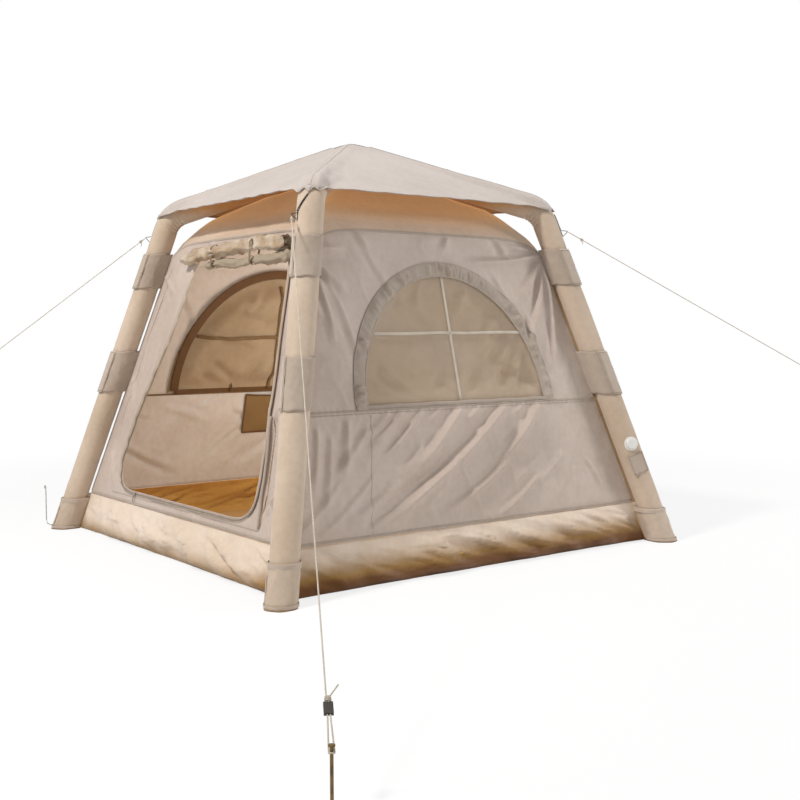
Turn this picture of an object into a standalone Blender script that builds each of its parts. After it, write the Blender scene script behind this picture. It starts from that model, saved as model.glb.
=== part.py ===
"""Inflatable tent: four bent air beams, fly roof, inner tent with one door and three
arched windows, bathtub floor, cuffs and boots, guylines and pegs. Metres, +Z up.

The tent stands on z = 0 about the Z axis. The door wall faces -Y."""

import math

import bmesh
import bpy
from mathutils import Matrix, Vector
from mathutils.geometry import interpolate_bezier, tessellate_polygon

# Air beams: axis places, in X and Y alike, and tube sizes
FOOT_REACH = 1.08
SHOULDER_REACH = 0.657
SHOULDER_HEIGHT = 1.598
ROOF_RISE = 0.287
HUB_HEIGHT = SHOULDER_HEIGHT + ROOF_RISE
BEAM_RADIUS = 0.057
SLEEVE_WALL = 0.0015
ELBOW_RADIUS = 0.14
BLADDER_FOOT_HEIGHT = 0.03
HUB_RADIUS = 0.085
HUB_DEPTH = 0.07
HUB_RISE = 0.015
ARM_END = 0.02

# Fits
CLEARANCE = 0.0003
OVERRUN = 0.01

# Fabric panels of the inner tent
FABRIC = 0.002
TUB_HEIGHT = 0.185
TUB_FLOOR = 0.004
TUB_RIPPLE = 0.006
TUB_BULGE = 0.008
WALL_BELOW_SHOULDER = 0.138
WALL_CORNER_DROP = 0.072
WALL_TOP = SHOULDER_HEIGHT - WALL_BELOW_SHOULDER
WALL_CORNER_TOP = WALL_TOP - WALL_CORNER_DROP
ROOF_GAP_BELOW_HUB = 0.02

# Fly roof
FLY_THICKNESS = 0.002
FLY_OVERHANG = 0.033
FLY_CORNER_OVERHANG = 0.049
FLY_CORNER_FULLNESS = 0.024
FLY_HEM_REACH = SHOULDER_REACH + FLY_OVERHANG
FLY_CORNER_REACH = SHOULDER_REACH + FLY_CORNER_OVERHANG
FLY_ELBOW_LIFT = 0.005
FLY_SAG = 0.034
FLY_CORNER_FALL = 0.06
FLY_APEX_DISC = 0.008

# Cuffs and boots, which hold the beams to the corners of the inner tent
CUFF_WALL = 0.005
CUFF_TAB = 0.0105
CUFF_FLAP = 0.0025
UPPER_CUFF_BELOW_SHOULDER = 0.188
UPPER_CUFF_LENGTH = 0.17
UPPER_CUFF_HIGH = SHOULDER_HEIGHT - UPPER_CUFF_BELOW_SHOULDER
UPPER_CUFF_LOW = UPPER_CUFF_HIGH - UPPER_CUFF_LENGTH
MIDDLE_CUFF_LOW = 0.715
MIDDLE_CUFF_LENGTH = 0.205
MIDDLE_CUFF_HIGH = MIDDLE_CUFF_LOW + MIDDLE_CUFF_LENGTH
BOOT_HIGH = 0.16
BOOT_SOLE = 0.004

# Arched windows
WINDOW_SILL = 0.712
WINDOW_HALF_WIDTH = 0.51
WINDOW_BELOW_WALL_TOP = 0.193
WINDOW_TOP = WALL_TOP - WINDOW_BELOW_WALL_TOP
SURROUND_MARGIN = 0.06
SURROUND_THICKNESS = 0.003
SILL_STRIP = 0.014
FLAP_MARGIN = 0.055
FLAP_THICKNESS = 0.003
TAPE_WIDTH = 0.018
TAPE_PROUD = 0.0015
TAPE_RISE_SHARE = 0.537
TAPE_HEIGHT = WINDOW_SILL + (WINDOW_TOP - WINDOW_SILL) * TAPE_RISE_SHARE

# Door
DOOR_SILL = 0.25
DOOR_BELOW_WALL_TOP = 0.075
DOOR_TOP = WALL_TOP - DOOR_BELOW_WALL_TOP
DOOR_HALF_WIDTH = 0.664
ZIP_WIDTH = 0.016
ZIP_MARGIN = 0.004
ZIP_THICKNESS = 0.003
SLIDER_LENGTH = 0.02
SLIDER_WIDTH = 0.012
SLIDER_THICKNESS = 0.006
SLIDER_PARK = 0.45
PULL_LENGTH = 0.036
PULL_WIDTH = 0.008
PULL_THICKNESS = 0.002

# Rolled-up door and mesh door with the ties that hold them
ROLL_RADIUS = 0.032
ROLL_ABOVE_DOOR = 0.015
ROLL_HEIGHT = DOOR_TOP + ROLL_ABOVE_DOOR
ROLL_LEFT = 0.42
ROLL_RIGHT = 0.505
ROLL_CLOTH = 0.0035
ROLL_CORE = 0.006
ROLL_TURNS = 3
MESH_ROLL_RADIUS = 0.019
MESH_ROLL_DROP = 0.06
MESH_ROLL_LEFT = 0.18
MESH_ROLL_RIGHT = 0.56
MESH_ROLL_TURNS = 2
ROLL_CINCH_SHARE = 0.88
TIE_LEFT = 0.12
TIE_RIGHT = 0.24
TIE_WIDTH = 0.016
TIE_THICKNESS = 0.0015

# Valve on the back right leg
VALVE_HEIGHT = 0.476
VALVE_TURN = math.radians(-72)
VALVE_FLANGE_RADIUS = 0.034
VALVE_FLANGE = 0.004
VALVE_STEM_RADIUS = 0.019
VALVE_CAP_RADIUS = 0.027
VALVE_CAP_HEIGHT = 0.013
VALVE_FLAP_WIDTH = 0.08
VALVE_FLAP_LENGTH = 0.105
VALVE_FLAP_THICKNESS = 0.002
VALVE_FLAP_DROP = 0.05

# Guy rings, elastics, guylines and pegs
RING_BELOW_SHOULDER = 0.111
RING_HEIGHT = SHOULDER_HEIGHT - RING_BELOW_SHOULDER
RING_ROD = 0.004
RING_SIDE = 0.03
RING_GAP = 0.0003
ELASTIC_DIAMETER = 0.004
CORD_DIAMETER = 0.004
EYE_LENGTH = 0.05
EYE_WIDTH = 0.022
GUY_PEG_X = 2.68
GUY_PEG_Y = -1.928
GUY_PEG_HEIGHT = 0.155
GUY_PEG_RADIUS = 0.004
GUY_PEG_HEAD_RADIUS = 0.008
GUY_PEG_HEAD = 0.004
FOOT_PEG_ROD = 0.005
FOOT_PEG_HEIGHT = 0.205
FOOT_PEG_FOOT = 0.125
FOOT_PEG_BEND = 0.022
FOOT_PEG_HOOK = 0.016
FOOT_PEG_PAST_FOOT = 0.03
FOOT_PEG_Y = -FOOT_REACH - FOOT_PEG_PAST_FOOT
RUNNER_LENGTH = 0.032
RUNNER_WIDTH = 0.022
RUNNER_THICKNESS = 0.009
RUNNER_FROM_PEG = 0.1

# Pocket and hanging loop on the inside of the left wall
POCKET_WIDTH = 0.29
POCKET_HEIGHT = 0.22
POCKET_SIDE_SHIFT = 0.02
POCKET_BELOW_SILL = 0.04
POCKET_SEAM = WINDOW_SILL - POCKET_BELOW_SILL
POCKET_THICKNESS = 0.0015
POCKET_BULGE = 0.016
LOOP_PLACE = 0.234
LOOP_ABOVE_SILL = 0.033
LOOP_TOP = WINDOW_SILL + LOOP_ABOVE_SILL
LOOP_LENGTH = 0.05
LOOP_WIDTH = 0.014
LOOP_THICKNESS = 0.002

SIDES = 16
ROOF_STEPS = 10
CORNERS = {"front_right": -45, "back_right": 45, "back_left": 135, "front_left": -135}
WALLS = {"right": 0, "back": 90, "left": 180, "front": -90}
RING_TURNS = {"front_right": -45, "back_right": 0, "back_left": 0, "front_left": 0}
FLAP_TURNS = {"front_right": (-100, -40), "back_right": (-70, -10),
              "back_left": (10, 70), "front_left": (10, 70)}
TIE_PLACES = (-TIE_LEFT, TIE_RIGHT)
# Share of the reach, then shares of the rise at the middle of a side and at a corner
ROOF_SHARES = (
    (1.0, 0.0, 0.0),
    (0.92, 0.12, 0.2),
    (0.76, 0.33, 0.465),
    (0.58, 0.53, 0.63),
    (0.3, 0.8, 0.825),
    (0.08, 0.97, 0.97),
)
FLY_SHARES = (0.3, 0.6, 0.8, 0.86, 0.9, 0.935, 0.97, 1.0)
# Where along a side the hem stands out furthest, beside the corners, and how fast that fades
FLY_FULLEST_SHARE = 0.91
FLY_FULL_WIDTH_SHARE = 0.045
# The door's outline on each side, from the sill up: shares of its half width and of its height
DOOR_LEFT_SHARES = (
    (0.0, 0.0), (0.4, 0.0), (0.76, 0.0), (0.88, 0.012), (0.965, 0.05), (1.0, 0.12),
    (0.973, 0.2), (0.9, 0.345), (0.835, 0.43), (0.655, 0.68), (0.535, 0.92),
    (0.47, 0.985), (0.36, 1.0), (0.0, 1.0),
)
DOOR_RIGHT_SHARES = (
    (0.0, 0.0), (0.4, 0.0), (0.76, 0.0), (0.88, 0.012), (0.965, 0.05), (0.985, 0.12),
    (0.97, 0.2), (0.943, 0.32), (0.908, 0.463), (0.858, 0.644), (0.78, 0.92),
    (0.72, 0.985), (0.6, 0.997), (0.36, 1.0), (0.0, 1.0),
)

# Far ends of the side guylines, in metres
LEFT_END = Vector((-1.377, -1.377, 0.873))
RIGHT_END = Vector((1.573, 1.573, 0.815))

SLOPE = (FOOT_REACH - SHOULDER_REACH) / SHOULDER_HEIGHT
SLANT = math.hypot(1, SLOPE)
LEG_SLANT = math.hypot(1, SLOPE * math.sqrt(2))
CUFF_RADIUS = BEAM_RADIUS + CLEARANCE + CUFF_WALL
TAB_RADIUS = CUFF_RADIUS + CUFF_TAB
WALL_INSET = (TAB_RADIUS + CLEARANCE) * LEG_SLANT / math.sqrt(2)
FLY_SLOPE = (HUB_HEIGHT - SHOULDER_HEIGHT) / SHOULDER_REACH
FLY_SLANT = math.hypot(1, FLY_SLOPE)
FLY_APEX = HUB_HEIGHT + (BEAM_RADIUS + 3 * CLEARANCE + FLY_THICKNESS) * FLY_SLANT
ROOF_APEX = HUB_HEIGHT - BEAM_RADIUS * FLY_SLANT - ROOF_GAP_BELOW_HUB


def clear_scene():
    for thing in list(bpy.data.objects):
        bpy.data.objects.remove(thing)


def finish(name, colour, roughness, metallic=0.0):
    """A plain Principled material."""
    made = bpy.data.materials.new(name)
    made.use_nodes = True
    shader = made.node_tree.nodes["Principled BSDF"]
    shader.inputs["Base Color"].default_value = (*colour, 1.0)
    shader.inputs["Roughness"].default_value = roughness
    shader.inputs["Metallic"].default_value = metallic
    return made


def place(name, data, look, matrix=None):
    made = bpy.data.objects.new(name, data)
    bpy.context.scene.collection.objects.link(made)
    data.materials.append(look)
    if matrix:
        made.matrix_world = matrix
    return made


def mesh_from(bm, name):
    bmesh.ops.recalc_face_normals(bm, faces=bm.faces)
    if bm.calc_volume(signed=True) < 0:
        bmesh.ops.reverse_faces(bm, faces=bm.faces)
    data = bpy.data.meshes.new(name)
    bm.to_mesh(data)
    bm.free()
    return data


def smooth(thing, angle=40):
    thing.data.shade_smooth()
    thing.data.set_sharp_from_angle(angle=math.radians(angle))
    return thing


def loft(name, rings, look, matrix=None, cyclic=False):
    """A closed solid through rings of points, capped at both ends or joined end to end."""
    bm = bmesh.new()
    rows = [[bm.verts.new(point) for point in ring] for ring in rings]
    pairs = list(zip(rows, rows[1:]))
    if cyclic:
        pairs.append((rows[-1], rows[0]))
    else:
        bm.faces.new(rows[0])
        bm.faces.new(rows[-1])
    for low, high in pairs:
        for i in range(len(low)):
            j = (i + 1) % len(low)
            bm.faces.new((low[i], low[j], high[j], high[i]))
    return smooth(place(name, mesh_from(bm, name), look, matrix))


def plate(name, outlines, low, high, look, matrix=None):
    """A flat slab over an outline, with the further outlines as its holes."""
    bm = bmesh.new()
    flat = [point for outline in outlines for point in outline]
    layers = [[bm.verts.new((x, y, z)) for x, y in flat] for z in (low, high)]
    loops = [[Vector((x, y, 0)) for x, y in outline] for outline in outlines]
    filled = tessellate_polygon(loops) if len(outlines) > 1 else [range(len(flat))]
    for face in filled:
        for layer in layers:
            bm.faces.new([layer[i] for i in face])
    start = 0
    for outline in outlines:
        count = len(outline)
        for i in range(count):
            j = start + (i + 1) % count
            bm.faces.new((layers[0][start + i], layers[0][j], layers[1][j], layers[1][start + i]))
        start += count
    return place(name, mesh_from(bm, name), look, matrix)


def turned(name, profile, look, matrix, count=SIDES):
    """A solid of revolution about local Z, from (radius, height) points, flat at both ends."""
    turns = [math.tau * i / count for i in range(count)]
    rings = [[(r * math.cos(a), r * math.sin(a), z) for a in turns] for r, z in profile]
    return loft(name, rings, look, matrix)


def rod(name, points, diameter, look, cyclic=False):
    """A round rod or cord along points, as a bevelled curve."""
    data = bpy.data.curves.new(name, "CURVE")
    data.dimensions = "3D"
    data.bevel_depth = diameter / 2
    data.bevel_resolution = 2
    data.use_fill_caps = not cyclic
    spline = data.splines.new("POLY")
    spline.points.add(len(points) - 1)
    for spot, point in zip(spline.points, points):
        spot.co = (*point, 1.0)
    spline.use_cyclic_u = cyclic
    return place(name, data, look)


def combine(thing, other, operation):
    """Joins or cuts with a helper solid, which then stays out of the model."""
    made = thing.modifiers.new(operation.title(), "BOOLEAN")
    made.operation = operation
    made.solver = "EXACT"
    made.object = other
    other.hide_render = True
    other.display_type = "WIRE"


def through(points, steps):
    """A smooth open curve that passes through the points."""
    points = [Vector(point) for point in points]
    ends = [points[0] * 2 - points[1], *points, points[-1] * 2 - points[-2]]
    curve = []
    for before, start, end, after in zip(ends, ends[1:], ends[2:], ends[3:]):
        first = start + (end - before) / 6
        second = end - (after - start) / 6
        curve.extend(interpolate_bezier(start, first, second, end, steps + 1)[:-1])
    return [*curve, points[-1]]


def corner_frame(degrees):
    """Local +X points out along the diagonal of a corner."""
    return Matrix.Rotation(math.radians(degrees), 4, "Z")


def wall_frame(degrees):
    """Local X runs along the wall, Y up its slope and Z out of it, from the ground line."""
    up = Vector((-SLOPE, 0, 1)).normalized()
    along = Vector((0, 1, 0))
    columns = Matrix((along, up, along.cross(up))).transposed().to_4x4()
    ground = Matrix.Translation((wall_reach(0), 0, 0))
    return Matrix.Rotation(math.radians(degrees), 4, "Z") @ ground @ columns


def leg_reach(height):
    return FOOT_REACH - SLOPE * height


def wall_reach(height):
    return leg_reach(height) - WALL_INSET


def leg_point(height):
    """Place on a leg's axis in its corner frame."""
    return Vector((leg_reach(height) * math.sqrt(2), 0, height))


def elbow_centre():
    """Centre of an elbow's bend in its corner frame."""
    (start, up) = beam_stations()[1]
    return start + Vector((-up.z, 0, up.x)) * ELBOW_RADIUS


def beam_stations():
    """Places and directions along one beam's axis, foot to hub, in its corner frame."""
    foot = leg_point(0)
    shoulder = leg_point(SHOULDER_HEIGHT)
    hub = Vector((0, 0, HUB_HEIGHT))
    up = (shoulder - foot).normalized()
    inward = (hub - shoulder).normalized()
    turn = up.angle(inward)
    tangent = ELBOW_RADIUS * math.tan(turn / 2)
    start = shoulder - up * tangent
    centre = start + Vector((-up.z, 0, up.x)) * ELBOW_RADIUS
    stations = [(foot, up)]
    steps = 4
    for i in range(steps + 1):
        turned_by = Matrix.Rotation(-turn * i / steps, 3, "Y")
        stations.append((centre + turned_by @ (start - centre), turned_by @ up))
    stations.append((hub, inward))
    return stations


def beam_ring(station, radius):
    centre, along = station
    outward = Vector((along.z, 0, -along.x))
    across = Vector((0, 1, 0))
    turns = [math.tau * i / SIDES for i in range(SIDES)]
    return [centre + (outward * math.cos(a) + across * math.sin(a)) * radius for a in turns]


def cut_at_height(ring, along, height):
    """Slides a ring's points along its tube until they lie at one height."""
    return [point + along * ((height - point.z) / along.z) for point in ring]


def cut_at_reach(ring, along, reach):
    return [point + along * ((reach - point.x) / along.x) for point in ring]


def beam_rings(radius, foot_height, end_reach):
    stations = beam_stations()
    rings = [beam_ring(station, radius) for station in stations]
    rings[0] = cut_at_height(rings[0], stations[0][1], foot_height)
    rings[-1] = cut_at_reach(rings[-1], stations[-1][1], end_reach)
    return rings


def beam_sleeve(corner, degrees, look):
    """The fabric tube of one beam, open at both ends."""
    foot = BOOT_SOLE + CLEARANCE
    end = HUB_RADIUS + CLEARANCE
    outer = beam_rings(BEAM_RADIUS, foot, end)
    inner = beam_rings(BEAM_RADIUS - SLEEVE_WALL, foot, end)
    rings = [*outer, *reversed(inner)]
    return loft(f"beam_sleeve_{corner}", rings, look, corner_frame(degrees), cyclic=True)


def bladder(look):
    """The welded air tube: an arch, the two arms that join it and the hub where they meet."""
    radius = BEAM_RADIUS - SLEEVE_WALL - CLEARANCE
    half_turn = Matrix.Rotation(math.pi, 3, "Z")
    near = beam_rings(radius, BLADDER_FOOT_HEIGHT, 0)
    far = [[half_turn @ point for point in ring] for ring in near[:-1]]
    mirrored = [[ring[(SIDES - i) % SIDES] for i in range(SIDES)] for ring in far]
    whole = [*near, *reversed(mirrored)]
    made = loft("air_bladder", whole, look, corner_frame(CORNERS["front_right"]))
    hub = ((HUB_RADIUS, HUB_HEIGHT - HUB_DEPTH), (HUB_RADIUS, HUB_HEIGHT + HUB_RISE))
    combine(made, turned("air_hub", hub, look, Matrix.Identity(4)), "UNION")
    for corner in ("back_right", "front_left"):
        rings = beam_rings(radius, BLADDER_FOOT_HEIGHT, ARM_END)
        arm = loft(f"air_arm_{corner}", rings, look, corner_frame(CORNERS[corner]))
        combine(made, arm, "UNION")


def cuff_ring(height, flap_turns, proud=0.0):
    """Outer ring of a cuff or boot: round, with a tab to the wall corner and a flap."""
    station = (leg_point(height), beam_stations()[0][1])
    ring = []
    for i, point in enumerate(beam_ring(station, CUFF_RADIUS + proud)):
        turn = (360 * i / SIDES + 180) % 360 - 180
        out = point - station[0]
        if 2 * i == SIDES:
            out = out.normalized() * TAB_RADIUS
        elif flap_turns and flap_turns[0] <= turn <= flap_turns[1]:
            out = out.normalized() * (CUFF_RADIUS + CUFF_FLAP)
        ring.append(station[0] + out)
    return ring


def cuff(name, degrees, low, high, flap_turns, look):
    """A fabric band round a leg, sewn to the corner of the walls."""
    outer = [cuff_ring(height, flap_turns) for height in (low, high)]
    bore = BEAM_RADIUS + CLEARANCE
    inner = [beam_ring((leg_point(h), beam_stations()[0][1]), bore) for h in (high, low)]
    loft(name, [*outer, *inner], look, corner_frame(degrees), cyclic=True)


def boot(name, degrees, look):
    """The foot cap of a leg, with its sole flat on the ground."""
    along = beam_stations()[0][1]
    bore = BEAM_RADIUS + CLEARANCE
    rings = [
        cut_at_height(cuff_ring(0, None), along, 0),
        cuff_ring(BOOT_HIGH, None),
        beam_ring((leg_point(BOOT_HIGH), along), bore),
        cut_at_height(beam_ring((leg_point(0), along), bore), along, BOOT_SOLE),
    ]
    loft(name, rings, look, corner_frame(degrees))


def side_shares(steps):
    """Places along one side, from -1 to 1, closer together towards its ends."""
    return [math.sin(math.pi * (i / steps - 0.5)) for i in range(steps + 1)]


def square_ring(reach_of, height_of, steps):
    """One closed ring round the tent: reach and height from the place along each side."""
    ring = []
    for degrees in (0, 90, 180, -90):
        turn = Matrix.Rotation(math.radians(degrees), 3, "Z")
        for share in side_shares(steps)[:-1]:
            out, along = reach_of(share, degrees)
            ring.append(turn @ Vector((out, along, height_of(share, degrees))))
    return ring


def roof_height(level_shares, share):
    """Height of the inner roof at one level and place along a side."""
    reach_share, middle_rise, corner_rise = level_shares
    middle = WALL_TOP + (ROOF_APEX - WALL_TOP) * middle_rise
    corner = WALL_CORNER_TOP + (ROOF_APEX - WALL_CORNER_TOP) * corner_rise
    power = 3 + 5 * reach_share**3
    return middle + (corner - middle) * abs(share) ** power


def inner_roof(look):
    corner = wall_reach(WALL_CORNER_TOP)

    def ring(level, drop):
        def reach_of(share, _):
            edge = wall_reach(roof_height(ROOF_SHARES[0], share))
            return edge * level[0], corner * share * level[0]

        return square_ring(reach_of, lambda share, _: roof_height(level, share) - drop, ROOF_STEPS)

    outer = [ring(level, 0) for level in reversed(ROOF_SHARES[1:])]
    edge = [ring(ROOF_SHARES[0], -CLEARANCE - FABRIC), ring(ROOF_SHARES[0], -CLEARANCE)]
    inner = [ring(level, FABRIC) for level in ROOF_SHARES[1:]]
    loft("inner_roof", [*outer, *edge, *inner], look)


def beam_top(diagonal, lateral):
    """Height of the fly where it lies on a beam, so far out and so far beside the beam's plane."""
    out = BEAM_RADIUS + CLEARANCE + FLY_THICKNESS + FLY_ELBOW_LIFT
    if abs(lateral) >= out or diagonal < HUB_RADIUS:
        return 0.0
    over = math.sqrt(out**2 - lateral**2)
    radius = ELBOW_RADIUS + over
    centre = elbow_centre()
    past = diagonal - centre.x
    slope = FLY_SLOPE / math.sqrt(2)
    if past <= radius * math.sin(math.atan(slope)):
        return HUB_HEIGHT - slope * diagonal + over * math.hypot(1, slope)
    leg_out = radius / LEG_SLANT
    if past <= leg_out:
        return centre.z + math.sqrt(radius**2 - past**2)
    leg_top = centre.z + math.sqrt(radius**2 - leg_out**2)
    return leg_top - (past - leg_out) / (SLOPE * math.sqrt(2))


def fly_roof(look):
    """The outer roof: straight panels that lie over the beams and wrap the elbows at its corners."""
    steps = 20

    def ring(share_out, sink):
        def reach(share):
            beside_corner = math.exp(-((abs(share) - FLY_FULLEST_SHARE) / FLY_FULL_WIDTH_SHARE) ** 2)
            full = FLY_CORNER_FULLNESS * beside_corner * share_out**8
            return share_out * (FLY_HEM_REACH + (FLY_CORNER_REACH - FLY_HEM_REACH) * share**6) + full

        def height_of(share, _):
            out, along = reach(share), share * reach(share)
            fall = FLY_SLOPE * out + FLY_SAG * share_out**2
            panel = FLY_APEX - fall - FLY_CORNER_FALL * share_out**12 * share**16
            on_beam = beam_top((out + abs(along)) / math.sqrt(2), (out - abs(along)) / math.sqrt(2))
            return max(panel, on_beam) - sink

        return square_ring(lambda share, _: (reach(share), share * reach(share)), height_of, steps)

    thickness = FLY_THICKNESS * FLY_SLANT
    apex_share = FLY_APEX_DISC / FLY_HEM_REACH
    outer = [ring(share, 0) for share in (apex_share, *FLY_SHARES)]
    inner = [ring(share, thickness) for share in reversed((apex_share, *FLY_SHARES))]
    loft("fly_roof", [*outer, *inner], look)


def bathtub_floor(look):
    """The groundsheet and its upstand, one folded sheet with wrinkles in the upstand."""
    steps = 14
    levels = (0.0, 0.35, 0.7, 1.0)

    def ring(level, height, inset):
        def reach_of(share, degrees):
            base = wall_reach(height) - inset
            puff = TUB_BULGE * math.sin(math.pi * level) * (1 - share**8)
            waves = math.sin(share * 19 + degrees) * math.sin(math.pi * (level + 0.25))
            ripple = TUB_RIPPLE * waves * (1 - share**4) * (0 < level < 1)
            return base + puff + ripple, share * base

        return square_ring(reach_of, lambda share, _: height, steps)

    outer = [ring(level, level * TUB_HEIGHT, 0) for level in levels]
    inner = [ring(level, max(level * TUB_HEIGHT, TUB_FLOOR), FABRIC) for level in reversed(levels)]
    loft("bathtub_floor", [*outer, *inner], look)


def arch(half_width, base, top, steps=20):
    """Half an ellipse on a wall's plane, from its right foot over the top."""
    points = []
    for i in range(steps + 1):
        turn = math.pi * i / steps
        points.append((half_width * math.cos(turn), (base + (top - base) * math.sin(turn)) * SLANT))
    return points


def wall_outline(cut):
    """The outline of a wall, narrower at each end by cut."""
    base = TUB_HEIGHT + CLEARANCE + FABRIC * SLOPE
    corner = wall_reach(WALL_CORNER_TOP)
    points = [(-wall_reach(base) + cut, base * SLANT), (wall_reach(base) - cut, base * SLANT)]
    for share in reversed(side_shares(ROOF_STEPS)):
        height = roof_height(ROOF_SHARES[0], share)
        points.append((share * (corner - cut), height * SLANT))
    return points


def door_outline():
    """The door's opening, from the middle of its sill round to the right."""
    height = DOOR_TOP - DOOR_SILL
    sides = []
    for shares in (DOOR_RIGHT_SHARES, DOOR_LEFT_SHARES):
        half = [(x * DOOR_HALF_WIDTH, DOOR_SILL + y * height, 0) for x, y in shares]
        sides.append([half[0], half[1], *through(half[2:-1], 2)])
    right = [(point[0], point[1]) for point in sides[0]]
    left = [(-point[0], point[1]) for point in reversed(sides[1][1:])]
    return [(x, y * SLANT) for x, y in (*right, (0, DOOR_TOP), *left)]


def pushed_out(points, distance):
    """An open line of points moved to its right-hand side by one distance."""
    moved = []
    for i, (x, y) in enumerate(points):
        before = points[max(i - 1, 0)]
        after = points[min(i + 1, len(points) - 1)]
        along = Vector((after[0] - before[0], after[1] - before[1])).normalized()
        moved.append((x + along.y * distance, y - along.x * distance))
    return moved


def window_cut():
    return arch(WINDOW_HALF_WIDTH + CLEARANCE, WINDOW_SILL - CLEARANCE, WINDOW_TOP + CLEARANCE)


def walls(look):
    for name, degrees in WALLS.items():
        cut = FABRIC + CLEARANCE if name in ("front", "back") else 0
        hole = door_outline() if name == "front" else window_cut()
        outlines = [wall_outline(cut), hole]
        plate(f"wall_{name}", outlines, -FABRIC, 0, look, wall_frame(degrees))


def windows(net_look, trim_look, flap_look):
    for name in ("right", "left", "back"):
        frame = wall_frame(WALLS[name])
        net = arch(WINDOW_HALF_WIDTH, WINDOW_SILL, WINDOW_TOP)
        made = plate(f"window_mesh_{name}", [net], -FABRIC, 0, net_look, frame)
        half = TAPE_WIDTH / 2
        low = WINDOW_SILL + half
        high = WINDOW_TOP - half
        end = WINDOW_HALF_WIDTH * math.sqrt(1 - TAPE_RISE_SHARE**2) - TAPE_WIDTH
        cross = [
            (half, low), (half, TAPE_HEIGHT - half), (end, TAPE_HEIGHT - half),
            (end, TAPE_HEIGHT + half), (half, TAPE_HEIGHT + half), (half, high),
            (-half, high), (-half, TAPE_HEIGHT + half), (-end, TAPE_HEIGHT + half),
            (-end, TAPE_HEIGHT - half), (-half, TAPE_HEIGHT - half), (-half, low),
        ]
        tapes = plate(f"tapes_{name}", [[(x, y * SLANT) for x, y in cross]],
                      -FABRIC / 2, TAPE_PROUD, trim_look, frame)
        combine(made, tapes, "UNION")
        outside = arch(WINDOW_HALF_WIDTH + SURROUND_MARGIN, WINDOW_SILL - SILL_STRIP,
                       WINDOW_TOP + SURROUND_MARGIN)
        inside = arch(WINDOW_HALF_WIDTH, WINDOW_SILL, WINDOW_TOP)
        plate(f"window_surround_{name}", [outside, inside], CLEARANCE,
              CLEARANCE + SURROUND_THICKNESS, trim_look, frame)
        flap = arch(WINDOW_HALF_WIDTH + FLAP_MARGIN, WINDOW_SILL - SILL_STRIP,
                    WINDOW_TOP + FLAP_MARGIN)
        back = -FABRIC - CLEARANCE
        plate(f"window_flap_{name}", [flap], back - FLAP_THICKNESS, back, flap_look, frame)


def zip_low():
    return DOOR_SILL * SLANT - ZIP_MARGIN - ZIP_WIDTH


def door_zip(track_look, metal_look):
    """The zip round the door's sides and sill, its slider at the left of the sill, and the pull."""
    frame = wall_frame(WALLS["front"])
    loop = door_outline()
    top = loop.index((0, DOOR_TOP * SLANT))
    line = [*loop[top + 1:], *loop[:top]]
    near = pushed_out(line, ZIP_MARGIN)
    far = pushed_out(line, ZIP_MARGIN + ZIP_WIDTH)
    top = CLEARANCE + ZIP_THICKNESS
    plate("door_zip_track", [[*near, *reversed(far)]], CLEARANCE, top, track_look, frame)
    middle = zip_low() + ZIP_WIDTH / 2
    half = SLIDER_LENGTH / 2
    wide = SLIDER_WIDTH / 2
    box = [(-half, -wide), (half, -wide), (half, wide), (-half, wide)]
    at_slider = frame @ Matrix.Translation((-SLIDER_PARK, middle, top + CLEARANCE))
    plate("door_zip_slider", [box], 0, SLIDER_THICKNESS, metal_look, at_slider)
    half = PULL_WIDTH / 2
    tab = [(-half, 0), (-half, -PULL_LENGTH), (half, -PULL_LENGTH), (half, 0)]
    lift = Matrix.Translation((0, 0, SLIDER_THICKNESS + CLEARANCE + PULL_THICKNESS / 2))
    plate("door_zip_pull", [tab], -PULL_THICKNESS / 2, PULL_THICKNESS / 2, metal_look,
          at_slider @ lift)


def spiral_outline(radius, turns):
    """The end view of rolled cloth, wound from its core out."""
    per_turn = 10
    count = turns * per_turn
    reach = radius - ROLL_CLOTH / 2
    middle = []
    for i in range(count + 1):
        share = i / count
        turn = math.tau * turns * share
        middle.append((share, turn))
    sides = []
    for offset in (ROLL_CLOTH / 2, -ROLL_CLOTH / 2):
        sides.append([
            ((ROLL_CORE + (reach - ROLL_CORE) * share + offset) * math.cos(turn),
             (ROLL_CORE + (reach - ROLL_CORE) * share + offset) * math.sin(turn))
            for share, turn in middle
        ])
    return [*sides[0], *reversed(sides[1])]


def roll(name, radius, turns, left, right, height, out, look):
    """Rolled cloth along the door wall, drawn in where the ties hold it."""
    outline = spiral_outline(radius, turns)
    stations = [(-left, 1.0)]
    for middle in TIE_PLACES:
        if middle - TIE_WIDTH > -left:
            stations.append((middle - 3 * TIE_WIDTH, 1.0))
            stations.append((middle - TIE_WIDTH, ROLL_CINCH_SHARE))
            stations.append((middle + TIE_WIDTH, ROLL_CINCH_SHARE))
            stations.append((middle + 3 * TIE_WIDTH, 1.0))
    stations = [s for s in stations if s[0] >= -left]
    stations.append((right, 1.0))
    rings = []
    for along, scale in stations:
        rings.append([(along, height + y * scale, out + x * scale) for x, y in outline])
    loft(name, rings, look, wall_frame(WALLS["front"]))


def roll_places():
    """Height up the wall and distance out of it of the upper and the lower roll."""
    upper = (ROLL_HEIGHT * SLANT, ROLL_RADIUS + TIE_THICKNESS + 2 * CLEARANCE)
    lower = (upper[0] - MESH_ROLL_DROP, MESH_ROLL_RADIUS + TIE_THICKNESS + 2 * CLEARANCE)
    return upper, lower


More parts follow.
